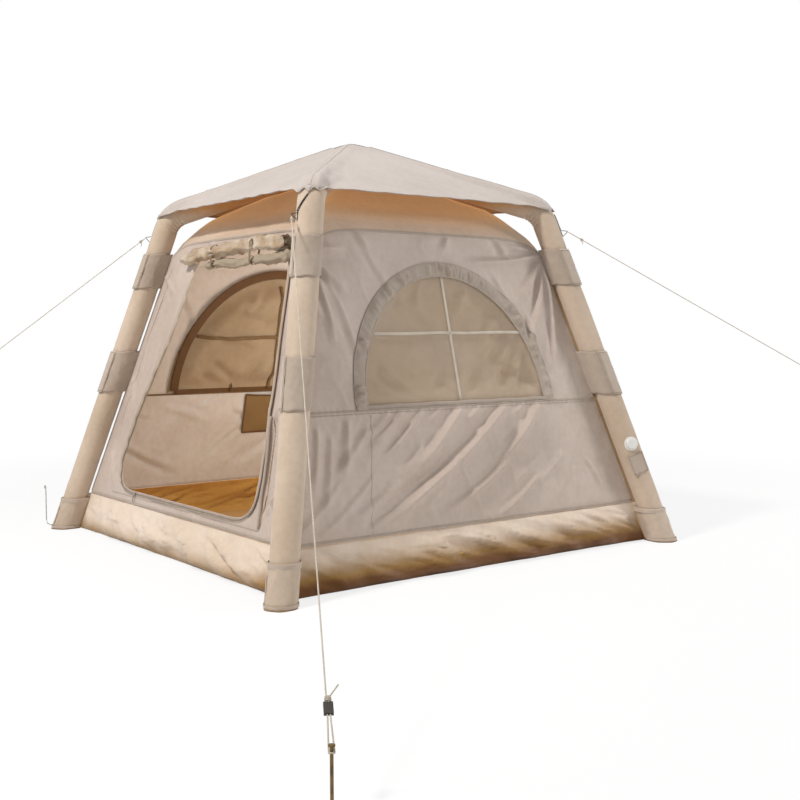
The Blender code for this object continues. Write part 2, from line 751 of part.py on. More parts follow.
def tie_loop(radii, centres, steps=8):
    """A taut line round an upper and a lower circle, seen along the rolls."""
    (y1, z1), (y2, z2) = centres
    span = math.hypot(y2 - y1, z2 - z1)
    lean = math.atan2(z2 - z1, y1 - y2)
    spread = math.asin((radii[0] - radii[1]) / span)
    loop = []
    for (y, z), radius, start, end in (
        ((y1, z1), radii[0], lean - math.pi / 2 - spread, lean + math.pi / 2 + spread),
        ((y2, z2), radii[1], lean + math.pi / 2 + spread, lean + 3 * math.pi / 2 - spread),
    ):
        for i in range(steps + 1):
            turn = start + (end - start) * i / steps
            loop.append((y + radius * math.cos(turn), z - radius * math.sin(turn)))
    return loop


def rolls_and_ties(door_look, mesh_look, tie_look):
    upper, lower = roll_places()
    roll("door_roll", ROLL_RADIUS, ROLL_TURNS, ROLL_LEFT, ROLL_RIGHT, *upper, door_look)
    roll("mesh_door_roll", MESH_ROLL_RADIUS, MESH_ROLL_TURNS, MESH_ROLL_LEFT, MESH_ROLL_RIGHT,
         *lower, mesh_look)
    grip = [ROLL_RADIUS * ROLL_CINCH_SHARE, MESH_ROLL_RADIUS * ROLL_CINCH_SHARE]
    for side, along in zip(("left", "right"), TIE_PLACES):
        inner = tie_loop([r + CLEARANCE for r in grip], (upper, lower))
        outer = tie_loop([r + CLEARANCE + TIE_THICKNESS for r in grip], (upper, lower))
        ends = (along - TIE_WIDTH / 2, along + TIE_WIDTH / 2)
        low, high = ends
        edges = ((low, outer), (high, outer), (high, inner), (low, inner))
        rings = [[(x, y, z) for y, z in loop] for x, loop in edges]
        loft(f"door_tie_{side}", rings, tie_look, wall_frame(WALLS["front"]), cyclic=True)


def leg_surface(turn_degrees, height, out):
    """Frame on a leg's surface: X across, Y up the leg and Z out of it, in its corner frame."""
    along = beam_stations()[0][1]
    outward = Vector((along.z, 0, -along.x))
    facing = Matrix.Rotation(math.radians(turn_degrees), 3, along) @ outward
    across = along.cross(facing)
    made = Matrix((across, along, facing)).transposed().to_4x4()
    spot = leg_point(height) + facing * out
    made.translation = spot + along * ((height - spot.z) / along.z)
    return made


def valve(sleeve, shell_look, cap_look, flap_look):
    """The inflation valve through the sleeve, its screw cap and the cloth flap below it."""
    corner = corner_frame(CORNERS["back_right"])
    turn = math.degrees(VALVE_TURN)
    seat = BEAM_RADIUS + CLEARANCE
    on_sleeve = corner @ leg_surface(turn, VALVE_HEIGHT, BEAM_RADIUS)
    at_valve = on_sleeve @ Matrix.Translation((0, 0, -BEAM_RADIUS))
    hole = VALVE_STEM_RADIUS + CLEARANCE
    cutter = turned("valve_hole", ((hole, BEAM_RADIUS / 2), (hole, BEAM_RADIUS + OVERRUN)),
                    shell_look, at_valve, 24)
    combine(sleeve, cutter, "DIFFERENCE")
    rim = seat + VALVE_FLANGE
    profile = (
        (VALVE_STEM_RADIUS, BEAM_RADIUS - SLEEVE_WALL),
        (VALVE_STEM_RADIUS, seat),
        (VALVE_FLANGE_RADIUS, seat),
        (VALVE_FLANGE_RADIUS, seat + VALVE_FLANGE / 2),
        (VALVE_FLANGE_RADIUS - VALVE_FLANGE / 2, rim),
    )
    turned("valve_body", profile, shell_look, at_valve, 24)
    cap = rim + CLEARANCE
    crown = VALVE_CAP_RADIUS - VALVE_CAP_HEIGHT / 3
    turned("valve_cap", (
        (VALVE_CAP_RADIUS, cap), (VALVE_CAP_RADIUS, cap + VALVE_CAP_HEIGHT * 2 / 3),
        (crown, cap + VALVE_CAP_HEIGHT)), cap_look, at_valve, 24)
    half = VALVE_FLAP_WIDTH / 2
    flap = [(-half, 0), (-half, -VALVE_FLAP_LENGTH), (half, -VALVE_FLAP_LENGTH), (half, 0)]
    hinge = at_valve @ Matrix.Translation((0, -VALVE_FLAP_DROP, seat + VALVE_FLAP_THICKNESS / 2))
    thick = VALVE_FLAP_THICKNESS / 2
    plate("valve_flap", [flap], -thick, thick, flap_look, hinge)


def ring_frame(corner):
    turn = RING_TURNS[corner]
    return corner_frame(CORNERS[corner]) @ leg_surface(turn, RING_HEIGHT, BEAM_RADIUS)


def guy_ring(corner, look):
    """A black triangular ring on the leg, its base bar on the sleeve."""
    frame = ring_frame(corner)
    base = RING_GAP + RING_ROD / 2
    half = RING_SIDE / 2
    rounding = RING_ROD / 2
    points = [
        (0, -half + rounding, base), (0, half - rounding, base), (0, half, base + rounding),
        (0, rounding, base + RING_SIDE - rounding), (0, -rounding, base + RING_SIDE - rounding),
        (0, -half, base + rounding),
    ]
    rod(f"guy_ring_{corner}", [frame @ Vector(p) for p in points], RING_ROD, look, cyclic=True)


def line_start(corner, towards):
    """Where a guyline's end meets the outer tip of the ring, and the line's direction."""
    tip = ring_frame(corner) @ Vector((0, 0, RING_GAP + RING_SIDE))
    along = (towards - tip).normalized()
    return tip + along * (RING_ROD + CLEARANCE), along


def corner_elastic(corner, look):
    """The elastic cord from the fly's corner down the sleeve to the ring."""
    frame = corner_frame(CORNERS[corner])
    hem = beam_top(FLY_CORNER_REACH * math.sqrt(2), 0) - FLY_THICKNESS * FLY_SLANT
    lift = CLEARANCE + ELASTIC_DIAMETER / 2
    low = RING_HEIGHT + RING_SIDE / 2 + RING_ROD / 2 + ELASTIC_DIAMETER
    high = hem - ELASTIC_DIAMETER / 2 - CLEARANCE
    count = 5
    points = []
    for i in range(count + 1):
        share = i / count
        height = low + (high - low) * share
        turn = RING_TURNS[corner] * (1 - share)
        points.append(frame @ elbow_surface(turn, height, lift))
    rod(f"corner_elastic_{corner}", points, ELASTIC_DIAMETER, look)


def elbow_surface(turn_degrees, height, lift):
    """A point just off the outer face of a beam, at a height on the leg or its elbow."""
    stations = beam_stations()
    start, up = stations[1]
    out = BEAM_RADIUS + lift
    level = leg_surface(turn_degrees, height, out).translation
    along = (level - start).dot(up)
    if along <= 0:
        return level
    centre = elbow_centre()
    bend = math.asin(min(1.0, along / (ELBOW_RADIUS + out)))
    turned_by = Matrix.Rotation(-bend, 3, "Y")
    flat = level - up * along
    return centre + turned_by @ (flat - centre)


def eye_route(start, along, side):
    """A cord's last stretch: an eye in the plane of along and side, back to the cord."""
    wide = EYE_WIDTH / 2
    gap = CORD_DIAMETER * 1.5
    shares = ((0.35, 0.0), (0.55, 0.6), (0.78, 1.0), (1.0, 0.2), (0.95, -0.7), (0.7, -1.0), (0.4, -0.8))
    return [start + along * (EYE_LENGTH * a) + side * (wide * b) for a, b in shares] + [
        start + along * (EYE_LENGTH / 10) - side * gap
    ]


def taut_line(start, end, count):
    return [start.lerp(end, i / count) for i in range(count + 1)]


def side_guyline(name, corner, end, look):
    """A taut line that runs out to an eye at its far end."""
    start, along = line_start(corner, end)
    side = along.cross(Vector((0, 0, 1))).normalized()
    run = taut_line(start, end, 14)
    eye = through([end, *eye_route(end, along, side)], 3)
    rod(name, [*run, *eye[1:]], CORD_DIAMETER, look)


def near_guyline_ends():
    neck = Vector((GUY_PEG_X, GUY_PEG_Y, GUY_PEG_HEIGHT - GUY_PEG_HEAD - 3 * CORD_DIAMETER))
    start, along = line_start("front_right", neck)
    return start, along, neck


def near_guyline(look):
    """The front right line, round its peg's neck and back to the runner."""
    start, along, neck = near_guyline_ends()
    side = along.cross(Vector((0, 0, 1))).normalized()
    out = GUY_PEG_RADIUS + CLEARANCE + CORD_DIAMETER / 2
    flat = Vector((along.x, along.y, 0)).normalized()
    runner = neck - along * RUNNER_FROM_PEG
    strand = CORD_DIAMETER * 0.8
    run = taut_line(start, runner - along * RUNNER_LENGTH + side * strand, 16)
    turn_in = [
        runner + side * strand,
        neck - along * (RUNNER_FROM_PEG * 0.4) + side * (out * 0.8),
        neck + side * out,
        neck + (side + flat).normalized() * out,
        neck + flat * out,
        neck + (flat - side).normalized() * out,
        neck - side * out,
        neck - along * (RUNNER_FROM_PEG * 0.4) - side * (out * 0.8),
        runner - side * strand,
        runner - along * RUNNER_LENGTH - side * strand,
    ]
    loop = through([run[-1], *turn_in], 2)
    rod("guyline_front_right", [*run, *loop[1:]], CORD_DIAMETER, look)


def runner(look):
    """The slide on the front right line: a bar with one slot for both strands."""
    start, along, neck = near_guyline_ends()
    side = along.cross(Vector((0, 0, 1))).normalized()
    made = Matrix((side, side.cross(along) * -1, along)).transposed().to_4x4()
    made.translation = neck - along * (RUNNER_FROM_PEG + RUNNER_LENGTH)
    wide, deep = RUNNER_WIDTH / 2, RUNNER_THICKNESS / 2
    slot_wide = CORD_DIAMETER * 1.3 + 2 * CLEARANCE
    slot_deep = CORD_DIAMETER / 2 + 2 * CLEARANCE
    outer = [(-wide, -deep), (wide, -deep), (wide, deep), (-wide, deep)]
    slot = [(-slot_wide, -slot_deep), (slot_wide, -slot_deep), (slot_wide, slot_deep),
            (-slot_wide, slot_deep)]
    plate("guyline_runner", [outer, slot], 0, RUNNER_LENGTH, look, made)


def guy_peg(look):
    foot = Matrix.Translation((GUY_PEG_X, GUY_PEG_Y, 0))
    neck = GUY_PEG_HEIGHT - GUY_PEG_HEAD
    turned("guy_peg", (
        (GUY_PEG_RADIUS / 2, 0), (GUY_PEG_RADIUS, 3 * GUY_PEG_RADIUS), (GUY_PEG_RADIUS, neck),
        (GUY_PEG_HEAD_RADIUS, neck), (GUY_PEG_HEAD_RADIUS, GUY_PEG_HEIGHT)), look, foot, 12)


def foot_peg(look):
    """The bent steel peg that stands beside the front left boot, its toe against the boot."""
    lift = FOOT_PEG_ROD / 2
    corner = corner_frame(CORNERS["front_left"])
    ring = cut_at_height(cuff_ring(0, None), beam_stations()[0][1], lift)
    edge = [corner @ point for point in ring]
    sides = [
        a.lerp(b, (FOOT_PEG_Y - a.y) / (b.y - a.y)).x
        for a, b in zip(edge, [*edge[1:], edge[0]])
        if (a.y - FOOT_PEG_Y) * (b.y - FOOT_PEG_Y) < 0
    ]
    toe = min(sides) - FOOT_PEG_ROD / 2 - CLEARANCE
    heel = toe - FOOT_PEG_FOOT
    top = FOOT_PEG_HEIGHT - FOOT_PEG_ROD / 2
    hook = FOOT_PEG_HOOK
    bend = FOOT_PEG_BEND
    spots = [(toe, lift), (toe - FOOT_PEG_FOOT / 2, lift), (heel + bend, lift)]
    for turn in (30, 60, 90):
        angle = math.radians(turn)
        spots.append((heel + bend - bend * math.sin(angle), lift + bend - bend * math.cos(angle)))
    spots.extend([(heel, top / 2), (heel, top - hook / 2)])
    half = hook / 2
    for turn in (45, 90, 135, 180):
        angle = math.radians(turn)
        spots.append((heel - half + half * math.cos(angle), top - half + half * math.sin(angle)))
    spots.append((heel - hook, top - hook))
    rod("foot_peg", [Vector((x, FOOT_PEG_Y, z)) for x, z in spots], FOOT_PEG_ROD, look)


def pouch(name, middle, half, low, high, look, matrix):
    """A shallow pocket, open at its top edge and flat where its sides and bottom are sewn."""
    steps = 8
    back = -FABRIC - CLEARANCE
    bm = bmesh.new()
    layers = []
    for depth in (0, POCKET_THICKNESS):
        grid = []
        for up in range(steps + 1):
            row = []
            for across in range(steps + 1):
                sides = math.sin(math.pi * across / steps)
                swell = POCKET_BULGE * sides * math.sin(math.pi / 2 * up / steps)
                along = middle - half + 2 * half * across / steps
                rise = low + (high - low) * up / steps
                row.append(bm.verts.new((along, rise, back - swell - depth)))
            grid.append(row)
        layers.append(grid)
    for grid in layers:
        for lower, upper in zip(grid, grid[1:]):
            for i in range(steps):
                bm.faces.new((lower[i], lower[i + 1], upper[i + 1], upper[i]))
    rims = [
        [*grid[0], *[row[-1] for row in grid[1:]], *grid[-1][-2::-1],
         *[row[0] for row in grid[-2:0:-1]]]
        for grid in layers
    ]
    for i in range(len(rims[0])):
        j = (i + 1) % len(rims[0])
        bm.faces.new((rims[0][i], rims[0][j], rims[1][j], rims[1][i]))
    return smooth(place(name, mesh_from(bm, name), look, matrix))


def pocket_and_loop(net_look, tape_look):
    """The mesh pocket and the hanging loop inside the left wall."""
    frame = wall_frame(WALLS["left"])
    high = POCKET_SEAM * SLANT
    half = POCKET_WIDTH / 2
    low = high - POCKET_HEIGHT
    middle = -POCKET_SIDE_SHIFT
    back = -FABRIC - CLEARANCE
    pouch("mesh_pocket", middle, half, low, high, net_look, frame)
    behind = back - FLAP_THICKNESS - CLEARANCE - LOOP_THICKNESS / 2
    seam = frame @ Vector((LOOP_PLACE, LOOP_TOP * SLANT, behind))
    facing = Matrix.Rotation(math.radians(WALLS["left"] + 90), 4, "Z")
    at_loop = Matrix.Translation(seam) @ facing @ Matrix.Rotation(math.pi / 2, 4, "X")
    half = LOOP_WIDTH / 2
    rim = LOOP_WIDTH / 4
    outer = [(-half, 0), (-half, -LOOP_LENGTH), (half, -LOOP_LENGTH), (half, 0)]
    inner = [(-half + rim, -rim), (-half + rim, -LOOP_LENGTH + rim),
             (half - rim, -LOOP_LENGTH + rim), (half - rim, -rim)]
    thick = LOOP_THICKNESS / 2
    plate("hanging_loop", [outer, inner], -thick, thick, tape_look, at_loop)


def main():
    clear_scene()
    beige = finish("beam_cloth", (0.72, 0.62, 0.49), 0.85)
    cuff_cloth = finish("cuff_cloth", (0.64, 0.56, 0.48), 0.85)
    wall_cloth = finish("wall_cloth", (0.6, 0.52, 0.45), 0.88)
    roof_cloth = finish("inner_roof_cloth", (0.55, 0.36, 0.2), 0.88)
    fly_cloth = finish("fly_cloth", (0.7, 0.65, 0.62), 0.8)
    tub_cloth = finish("tub_cloth", (0.72, 0.63, 0.52), 0.75)
    air_film = finish("air_film", (0.75, 0.75, 0.72), 0.4)
    net = finish("window_net", (0.33, 0.27, 0.17), 0.9)
    trim = finish("window_trim", (0.66, 0.58, 0.5), 0.85)
    flap_cloth = finish("flap_cloth", (0.5, 0.36, 0.2), 0.88)
    tape = finish("tape", (0.6, 0.54, 0.44), 0.85)
    zip_tape = finish("zip_tape", (0.5, 0.42, 0.3), 0.7)
    black = finish("black_plastic", (0.03, 0.025, 0.02), 0.5)
    rubber = finish("elastic", (0.03, 0.025, 0.02), 0.7)
    white = finish("white_plastic", (0.78, 0.78, 0.76), 0.4)
    metal = finish("steel", (0.55, 0.55, 0.55), 0.35, 1.0)
    bronze = finish("bronzed_steel", (0.3, 0.2, 0.1), 0.45, 0.6)
    cord = finish("cord", (0.65, 0.63, 0.6), 0.8)

    sleeves = {}
    for corner, degrees in CORNERS.items():
        sleeves[corner] = beam_sleeve(corner, degrees, beige)
    bladder(air_film)
    valve(sleeves["back_right"], white, white, cuff_cloth)
    for corner, degrees in CORNERS.items():
        cuff(f"upper_cuff_{corner}", degrees, UPPER_CUFF_LOW, UPPER_CUFF_HIGH,
             FLAP_TURNS[corner], cuff_cloth)
        cuff(f"middle_cuff_{corner}", degrees, MIDDLE_CUFF_LOW, MIDDLE_CUFF_HIGH,
             FLAP_TURNS[corner], cuff_cloth)
        boot(f"boot_{corner}", degrees, beige)
        guy_ring(corner, black)
        corner_elastic(corner, rubber)
    bathtub_floor(tub_cloth)
    walls(wall_cloth)
    inner_roof(roof_cloth)
    fly_roof(fly_cloth)
    windows(net, trim, flap_cloth)
    door_zip(zip_tape, metal)
    rolls_and_ties(wall_cloth, net, tape)
    pocket_and_loop(net, tape)
    side_guyline("guyline_front_left", "front_left", LEFT_END, cord)
    side_guyline("guyline_back_right", "back_right", RIGHT_END, cord)
    near_guyline(cord)
    runner(black)
    guy_peg(bronze)
    foot_peg(metal)


main()
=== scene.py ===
"""Visual model of the inflatable tent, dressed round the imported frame. Metres, +Z up."""
import math
import random

import bpy
import numpy as np
from mathutils import Matrix, Vector, noise
from mathutils.geometry import delaunay_2d_cdt, interpolate_bezier


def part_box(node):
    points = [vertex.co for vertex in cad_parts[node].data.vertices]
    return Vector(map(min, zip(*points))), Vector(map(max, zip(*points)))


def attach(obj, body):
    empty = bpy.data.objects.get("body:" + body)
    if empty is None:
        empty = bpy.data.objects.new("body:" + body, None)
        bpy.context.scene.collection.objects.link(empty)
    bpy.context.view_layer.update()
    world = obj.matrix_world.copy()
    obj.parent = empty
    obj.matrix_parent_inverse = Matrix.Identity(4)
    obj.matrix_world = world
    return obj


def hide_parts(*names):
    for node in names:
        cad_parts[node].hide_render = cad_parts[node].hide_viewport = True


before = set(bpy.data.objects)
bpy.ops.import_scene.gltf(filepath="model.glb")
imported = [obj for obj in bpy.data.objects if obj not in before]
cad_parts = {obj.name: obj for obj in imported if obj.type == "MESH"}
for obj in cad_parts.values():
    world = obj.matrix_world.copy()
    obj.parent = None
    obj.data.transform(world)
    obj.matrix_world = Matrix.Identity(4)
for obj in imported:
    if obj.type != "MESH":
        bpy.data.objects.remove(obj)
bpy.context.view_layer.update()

# Sizes that repeat the frame's
FOOT_REACH = 1.08
SHOULDER_REACH = 0.657
SHOULDER = 1.598
HUB = 1.885
BEAM = 0.057
ELBOW = 0.14
WALL_INSET = 0.055193
TUB_HIGH = 0.185
WALL_TOP = 1.46
WALL_CORNER = 1.388
ROOF_APEX = 1.802799
FLY_APEX = 1.950366
CUFF = 0.0623
TAB = 0.0728
SLOPE = (FOOT_REACH - SHOULDER_REACH) / SHOULDER
SLANT = math.hypot(1, SLOPE)
FLY_SLOPE = (HUB - SHOULDER) / SHOULDER_REACH
CORNERS = {"front_right": -45, "back_right": 45, "back_left": 135, "front_left": -135}
WALLS = {"right": 0, "back": 90, "left": 180, "front": -90}
WINDOW = (0.51, 0.712, 1.267)
DOOR_LEFT_SHARES = (
    (0.0, 0.0), (0.4, 0.0), (0.76, 0.0), (0.88, 0.012), (0.965, 0.05), (1.0, 0.12),
    (0.973, 0.2), (0.9, 0.345), (0.835, 0.43), (0.655, 0.68), (0.535, 0.92),
    (0.47, 0.985), (0.36, 1.0), (0.0, 1.0),
)
DOOR_RIGHT_SHARES = (
    (0.0, 0.0), (0.4, 0.0), (0.76, 0.0), (0.88, 0.012), (0.965, 0.05), (0.985, 0.12),
    (0.97, 0.2), (0.943, 0.32), (0.908, 0.463), (0.858, 0.644), (0.78, 0.92),
    (0.72, 0.985), (0.6, 0.997), (0.36, 1.0), (0.0, 1.0),
)
ROOF_SHARES = (
    (1.0, 0.0, 0.0), (0.92, 0.12, 0.2), (0.76, 0.33, 0.465), (0.58, 0.53, 0.63),
    (0.3, 0.8, 0.825), (0.08, 0.97, 0.97), (0.0, 1.0, 1.0),
)
CUFFS = {"upper": (1.24, 1.41), "middle": (0.715, 0.92)}
BOOT_TOP = 0.165
RING_HEIGHT = 1.487
TIES = {"left": -0.12, "right": 0.24}
UPPER_ROLL = 1.392
LOWER_ROLL = 1.330
CORD = 0.004

# This script's own values
SILL_SEAM = 0.69
CLOTH = 0.0012
STRAND = 0.0019
DIAGONAL = math.sqrt(2)
UP = Vector((0, 0, 1))
SIDEWAYS = np.array((0, 1.0, 0))
ROUND = np.linspace(-math.pi, math.pi, 97)[:-1]
WHITE = (1, 1, 1, 1)
WEAVE = 0.0012
NET_PITCH = 0.0016
LEG_STEPS, ELBOW_STEPS, ARM_STEPS = 60, 24, 40


def linked(name, data):
    made = bpy.data.objects.new(name, data)
    bpy.context.scene.collection.objects.link(made)
    return made


# Camera, at the photograph's viewing angle
def make_camera():
    data = bpy.data.cameras.new("camera")
    data.lens = 50.445
    data.sensor_width = 36.0
    data.clip_end = 60
    cam = linked("camera", data)
    forward = Vector((-0.79337, 0.60563, -0.06146)).normalized()
    right = Matrix.Rotation(0.003, 3, forward) @ forward.cross(UP).normalized()
    columns = Matrix((right, right.cross(forward), -forward)).transposed()
    cam.matrix_world = Matrix.Translation((4.598, -3.209, 1.02)) @ columns.to_4x4()
    bpy.context.scene.camera = cam


# Materials
def linear(rgb):
    out = []
    for value in rgb:
        c = value / 255
        out.append(c / 12.92 if c <= 0.04045 else ((c + 0.055) / 1.055) ** 2.4)
    return (*out, 1.0)


def shade(rgb, share):
    return linear([c * share for c in rgb])


class Nodes:
    """A short way to write a shader's node tree."""

    def __init__(self, name, rough, metallic=0.0):
        self.made = bpy.data.materials.new(name)
        self.made.use_nodes = True
        self.tree = self.made.node_tree
        self.shader = self.tree.nodes["Principled BSDF"]
        self.set(Roughness=rough, Metallic=metallic)
        self.place = self.add("ShaderNodeTexCoord").outputs["Object"]

    def set(self, **values):
        """The shader's own inputs; an underscore stands for a space."""
        for key, value in values.items():
            self.shader.inputs[key.replace("_", " ")].default_value = value

    def add(self, kind, **settings):
        node = self.tree.nodes.new(kind)
        for key, value in settings.items():
            if hasattr(node, key):
                setattr(node, key, value)
            else:
                node.inputs[key].default_value = value
        return node

    def link(self, start, end):
        self.tree.links.new(start, end)

    def feed(self, sockets, *values):
        """Each value into its socket, linked or as a plain number or colour."""
        for socket, value in zip(sockets, values):
            if isinstance(value, (int, float, tuple)):
                socket.default_value = value
            else:
                self.link(value, socket)

    def noise(self, scale, detail=3.0, rough=0.55, stretch=None):
        node = self.add("ShaderNodeTexNoise", Scale=scale, Detail=detail, Roughness=rough)
        at = self.place
        if stretch:
            warp = self.add("ShaderNodeMapping", Scale=stretch)
            self.link(at, warp.inputs["Vector"])
            at = warp.outputs["Vector"]
        self.link(at, node.inputs["Vector"])
        return node.outputs["Fac"]

    def bands(self, pitch, direction):
        node = self.add("ShaderNodeTexWave", wave_type="BANDS", bands_direction=direction,
                        Scale=math.pi / (10 * pitch), Distortion=0.3)
        self.link(self.place, node.inputs["Vector"])
        return node.outputs["Fac"]

    def threads(self, pitch, first, second):
        both = self.math("ADD", self.bands(pitch, first), self.bands(pitch, second))
        return self.math("MULTIPLY", both, 0.5)

    def math(self, operation, first, second):
        node = self.add("ShaderNodeMath", operation=operation)
        self.feed(node.inputs, first, second)
        return node.outputs[0]

    def mix(self, factor, first, second, blend="MIX"):
        node = self.add("ShaderNodeMix", data_type="RGBA", blend_type=blend)
        self.feed([node.inputs[k] for k in (0, 6, 7)], factor, first, second)
        return node.outputs[2]

    def ramp(self, factor, low, high, start=0.0, end=1.0, kind="SMOOTHSTEP"):
        node = self.add("ShaderNodeMapRange", interpolation_type=kind)
        self.feed(node.inputs, factor, low, high, start, end)
        return node.outputs[0]

    def blotches(self, scale, detail, low, high, first, second):
        return self.mix(self.ramp(self.noise(scale, detail), low, high), first, second)

    def axis(self, name):
        split = self.add("ShaderNodeSeparateXYZ")
        self.link(self.place, split.inputs[0])
        return split.outputs[name]

    def bump(self, *layers):
        """Bumps laid on one another, each a height socket and its depth in metres."""
        normal = None
        for height, depth in layers:
            node = self.add("ShaderNodeBump", Strength=1.0, Distance=depth)
            self.link(height, node.inputs["Height"])
            if normal:
                self.link(normal, node.inputs["Normal"])
            normal = node.outputs["Normal"]
        self.link(normal, self.shader.inputs["Normal"])

    def colour(self, socket):
        self.link(socket, self.shader.inputs["Base Color"])


def cloth(name, rgb, other, rough=0.85, across="Y", mottle=0.1, darker_low_down=None, shift_to=None,
          crumple=0.003, painted_glow=0.0, gloss=0.25, blotch=2.3):
    """Woven cloth: threads, blotches of a second colour, darker low down, a shift to another colour above
    a height, a painted glow, fine crumples.
    """
    n = Nodes(name, rough)
    base = n.blotches(blotch, 4.0, 0.35, 0.68, linear(rgb), linear(other))
    # Where given, a shift to another colour above a height: on the sleeves and the inner roof this is
    # painted light and shade that falls through the fly.
    if shift_to:
        low, high, upper = shift_to
        base = n.mix(n.ramp(n.axis("Z"), low, high), base, linear(upper))
    # Darker low down, with a ragged edge and, where tilt is given, more of it towards +X; on the
    # groundsheet's skirt this is painted shade.
    if darker_low_down:
        high, dark, tilt = darker_low_down
        edge = n.math("ADD", n.axis("Z"), n.math("MULTIPLY", n.noise(7.0, 4.0), high * 0.5))
        edge = n.math("ADD", edge, n.math("MULTIPLY", n.ramp(n.axis("X"), 0.72, 1.0), tilt))
        base = n.mix(n.ramp(edge, high * 1.2, high * 0.2), base, linear(dark))
        deep = (dark[0] * 0.75, dark[1] * 0.62, dark[2] * 0.4)
        base = n.mix(n.ramp(edge, high * 0.3, -high * 0.05), base, linear(deep))
    threads = n.threads(WEAVE, across, "Z")
    base = n.mix(1.0, base, n.blotches(38.0, 2.0, 0.3, 0.75, WHITE, (0.94, 0.93, 0.92, 1)), "MULTIPLY")
    base = n.mix(mottle, base, n.mix(threads, (0.78, 0.78, 0.78, 1), WHITE), "MULTIPLY")
    n.colour(base)
    n.bump((threads, 0.00012), (n.noise(26.0, 4.0, 0.6), crumple * 0.5),
           (n.noise(7.0, 2.0, 0.5), crumple))
    n.set(Sheen_Weight=0.25, Sheen_Roughness=0.5, Specular_IOR_Level=gloss)
    # Painted glow: the cloth gives off its own colour, standing in for daylight that passes through it.
    if painted_glow:
        n.link(base, n.shader.inputs["Emission Color"])
        n.set(Emission_Strength=painted_glow)
    return n.made


def webbing(name, rgb, pitch=0.002, rough=0.75):
    """Ribbed tape, braid or cord."""
    n = Nodes(name, rough)
    ribs = n.threads(pitch, "Z", "DIAGONAL")
    worn = n.blotches(30.0, 3.0, 0.35, 0.7, WHITE, (0.86, 0.85, 0.83, 1))
    n.colour(n.mix(1.0, n.mix(ribs, shade(rgb, 0.72), linear(rgb)), worn, "MULTIPLY"))
    n.bump((ribs, 0.0003), (n.noise(60.0, 2.0), 0.0004))
    n.set(Sheen_Weight=0.2)
    return n.made


def netting(name, rgb, alpha):
    """Fine mosquito net: small round holes in a regular pattern."""
    n = Nodes(name, 0.8)
    holes = n.math("MULTIPLY", n.bands(NET_PITCH, "Z"), n.bands(NET_PITCH, "DIAGONAL"))
    base = n.mix(holes, linear(rgb), shade(rgb, 0.7))
    n.colour(n.blotches(3.0, 3.0, 0.35, 0.7, base, shade(rgb, 0.86)))
    n.bump((holes, 0.0002), (n.noise(9.0, 2.0), 0.002))
    n.set(Alpha=alpha, Specular_IOR_Level=0.2)
    return n.made


def plastic(name, rgb, rough, wear=0.12):
    n = Nodes(name, rough)
    base = n.blotches(45.0, 4.0, 0.55, 0.8, linear(rgb), linear([min(255, c + 30) for c in rgb]))
    n.colour(n.mix(wear, base, n.mix(n.noise(160.0, 2.0), (0.7, 0.7, 0.7, 1), WHITE), "MULTIPLY"))
    n.bump((n.noise(420.0, 2.0), 0.00008), (n.noise(60.0, 2.0), 0.0003))
    return n.made


def metal(name, rgb, rough=0.38, metallic=1.0):
    n = Nodes(name, rough, metallic)
    n.colour(n.blotches(55.0, 5.0, 0.42, 0.75, linear(rgb), shade(rgb, 0.62)))
    worn = n.ramp(n.noise(80.0, 3.0), 0.0, 1.0, rough * 0.75, min(1, rough * 1.5), "LINEAR")
    n.link(worn, n.shader.inputs["Roughness"])
    n.bump((n.noise(300.0, 3.0, 0.6, (1, 1, 0.15)), 0.00015))
    return n.made


# Mesh helpers
def link_object(name, data, look, body="tent"):
    made = linked(name, data)
    for item in look if isinstance(look, list) else [look]:
        data.materials.append(item)
    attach(made, body)
    return made


def mesh_object(name, points, faces, look, body="tent"):
    data = bpy.data.meshes.new(name)
    data.from_pydata([tuple(map(float, p)) for p in points], [], faces)
    data.shade_smooth()
    return link_object(name, data, look, body)


def grid_faces(rows, columns, wrap_rows=False, wrap_columns=False):
    faces = []
    for i in range(rows if wrap_rows else rows - 1):
        for j in range(columns if wrap_columns else columns - 1):
            here, below = i * columns, (i + 1) % rows * columns
            after = (j + 1) % columns
            faces.append((here + j, here + after, below + after, below + j))
    return faces


def skin(name, rings, look, body="tent", closed=False):
    """Rings of points joined to a tube, its ends filled unless it runs in a loop."""
    points = np.array(rings)
    rows, count = points.shape[:2]
    faces = grid_faces(rows, count, closed, True)
    if not closed:
        faces += [tuple(range(count))[::-1], tuple(range((rows - 1) * count, rows * count))]
    return mesh_object(name, points.reshape(-1, 3), faces, look, body)


def grid_object(name, points, look, body="tent", wrap_columns=False, flip=False):
    points = np.asarray(points, float)
    faces = grid_faces(*points.shape[:2], False, wrap_columns)
    if flip:
        faces = [face[::-1] for face in faces]
    return mesh_object(name, points.reshape(-1, 3), faces, look, body)


def thicken(piece, depth=CLOTH, two_looks=False, offset=-1.0):
    made = piece.modifiers.new("thickness", "SOLIDIFY")
    made.thickness = depth
    made.offset = offset
    if two_looks:
        made.material_offset = 1


def stand_in(node):
    """Hides one of the frame's nodes, whose place a piece of this script takes."""
    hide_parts(node)


def units(rows):
    """Each row at a length of one."""
    return rows / np.linalg.norm(rows, axis=-1)[..., None]


def frames_along(path):
    """Two cross axes that turn smoothly along a path."""
    along = units(np.gradient(path, axis=0))
    side = units(np.cross(along[0], (0.31, 0.17, 0.93)))
    sides = []
    for direction in along:
        side = units(side - direction * side.dot(direction))
        sides.append(side)
    sides = np.array(sides)
    return sides, np.cross(along, sides)


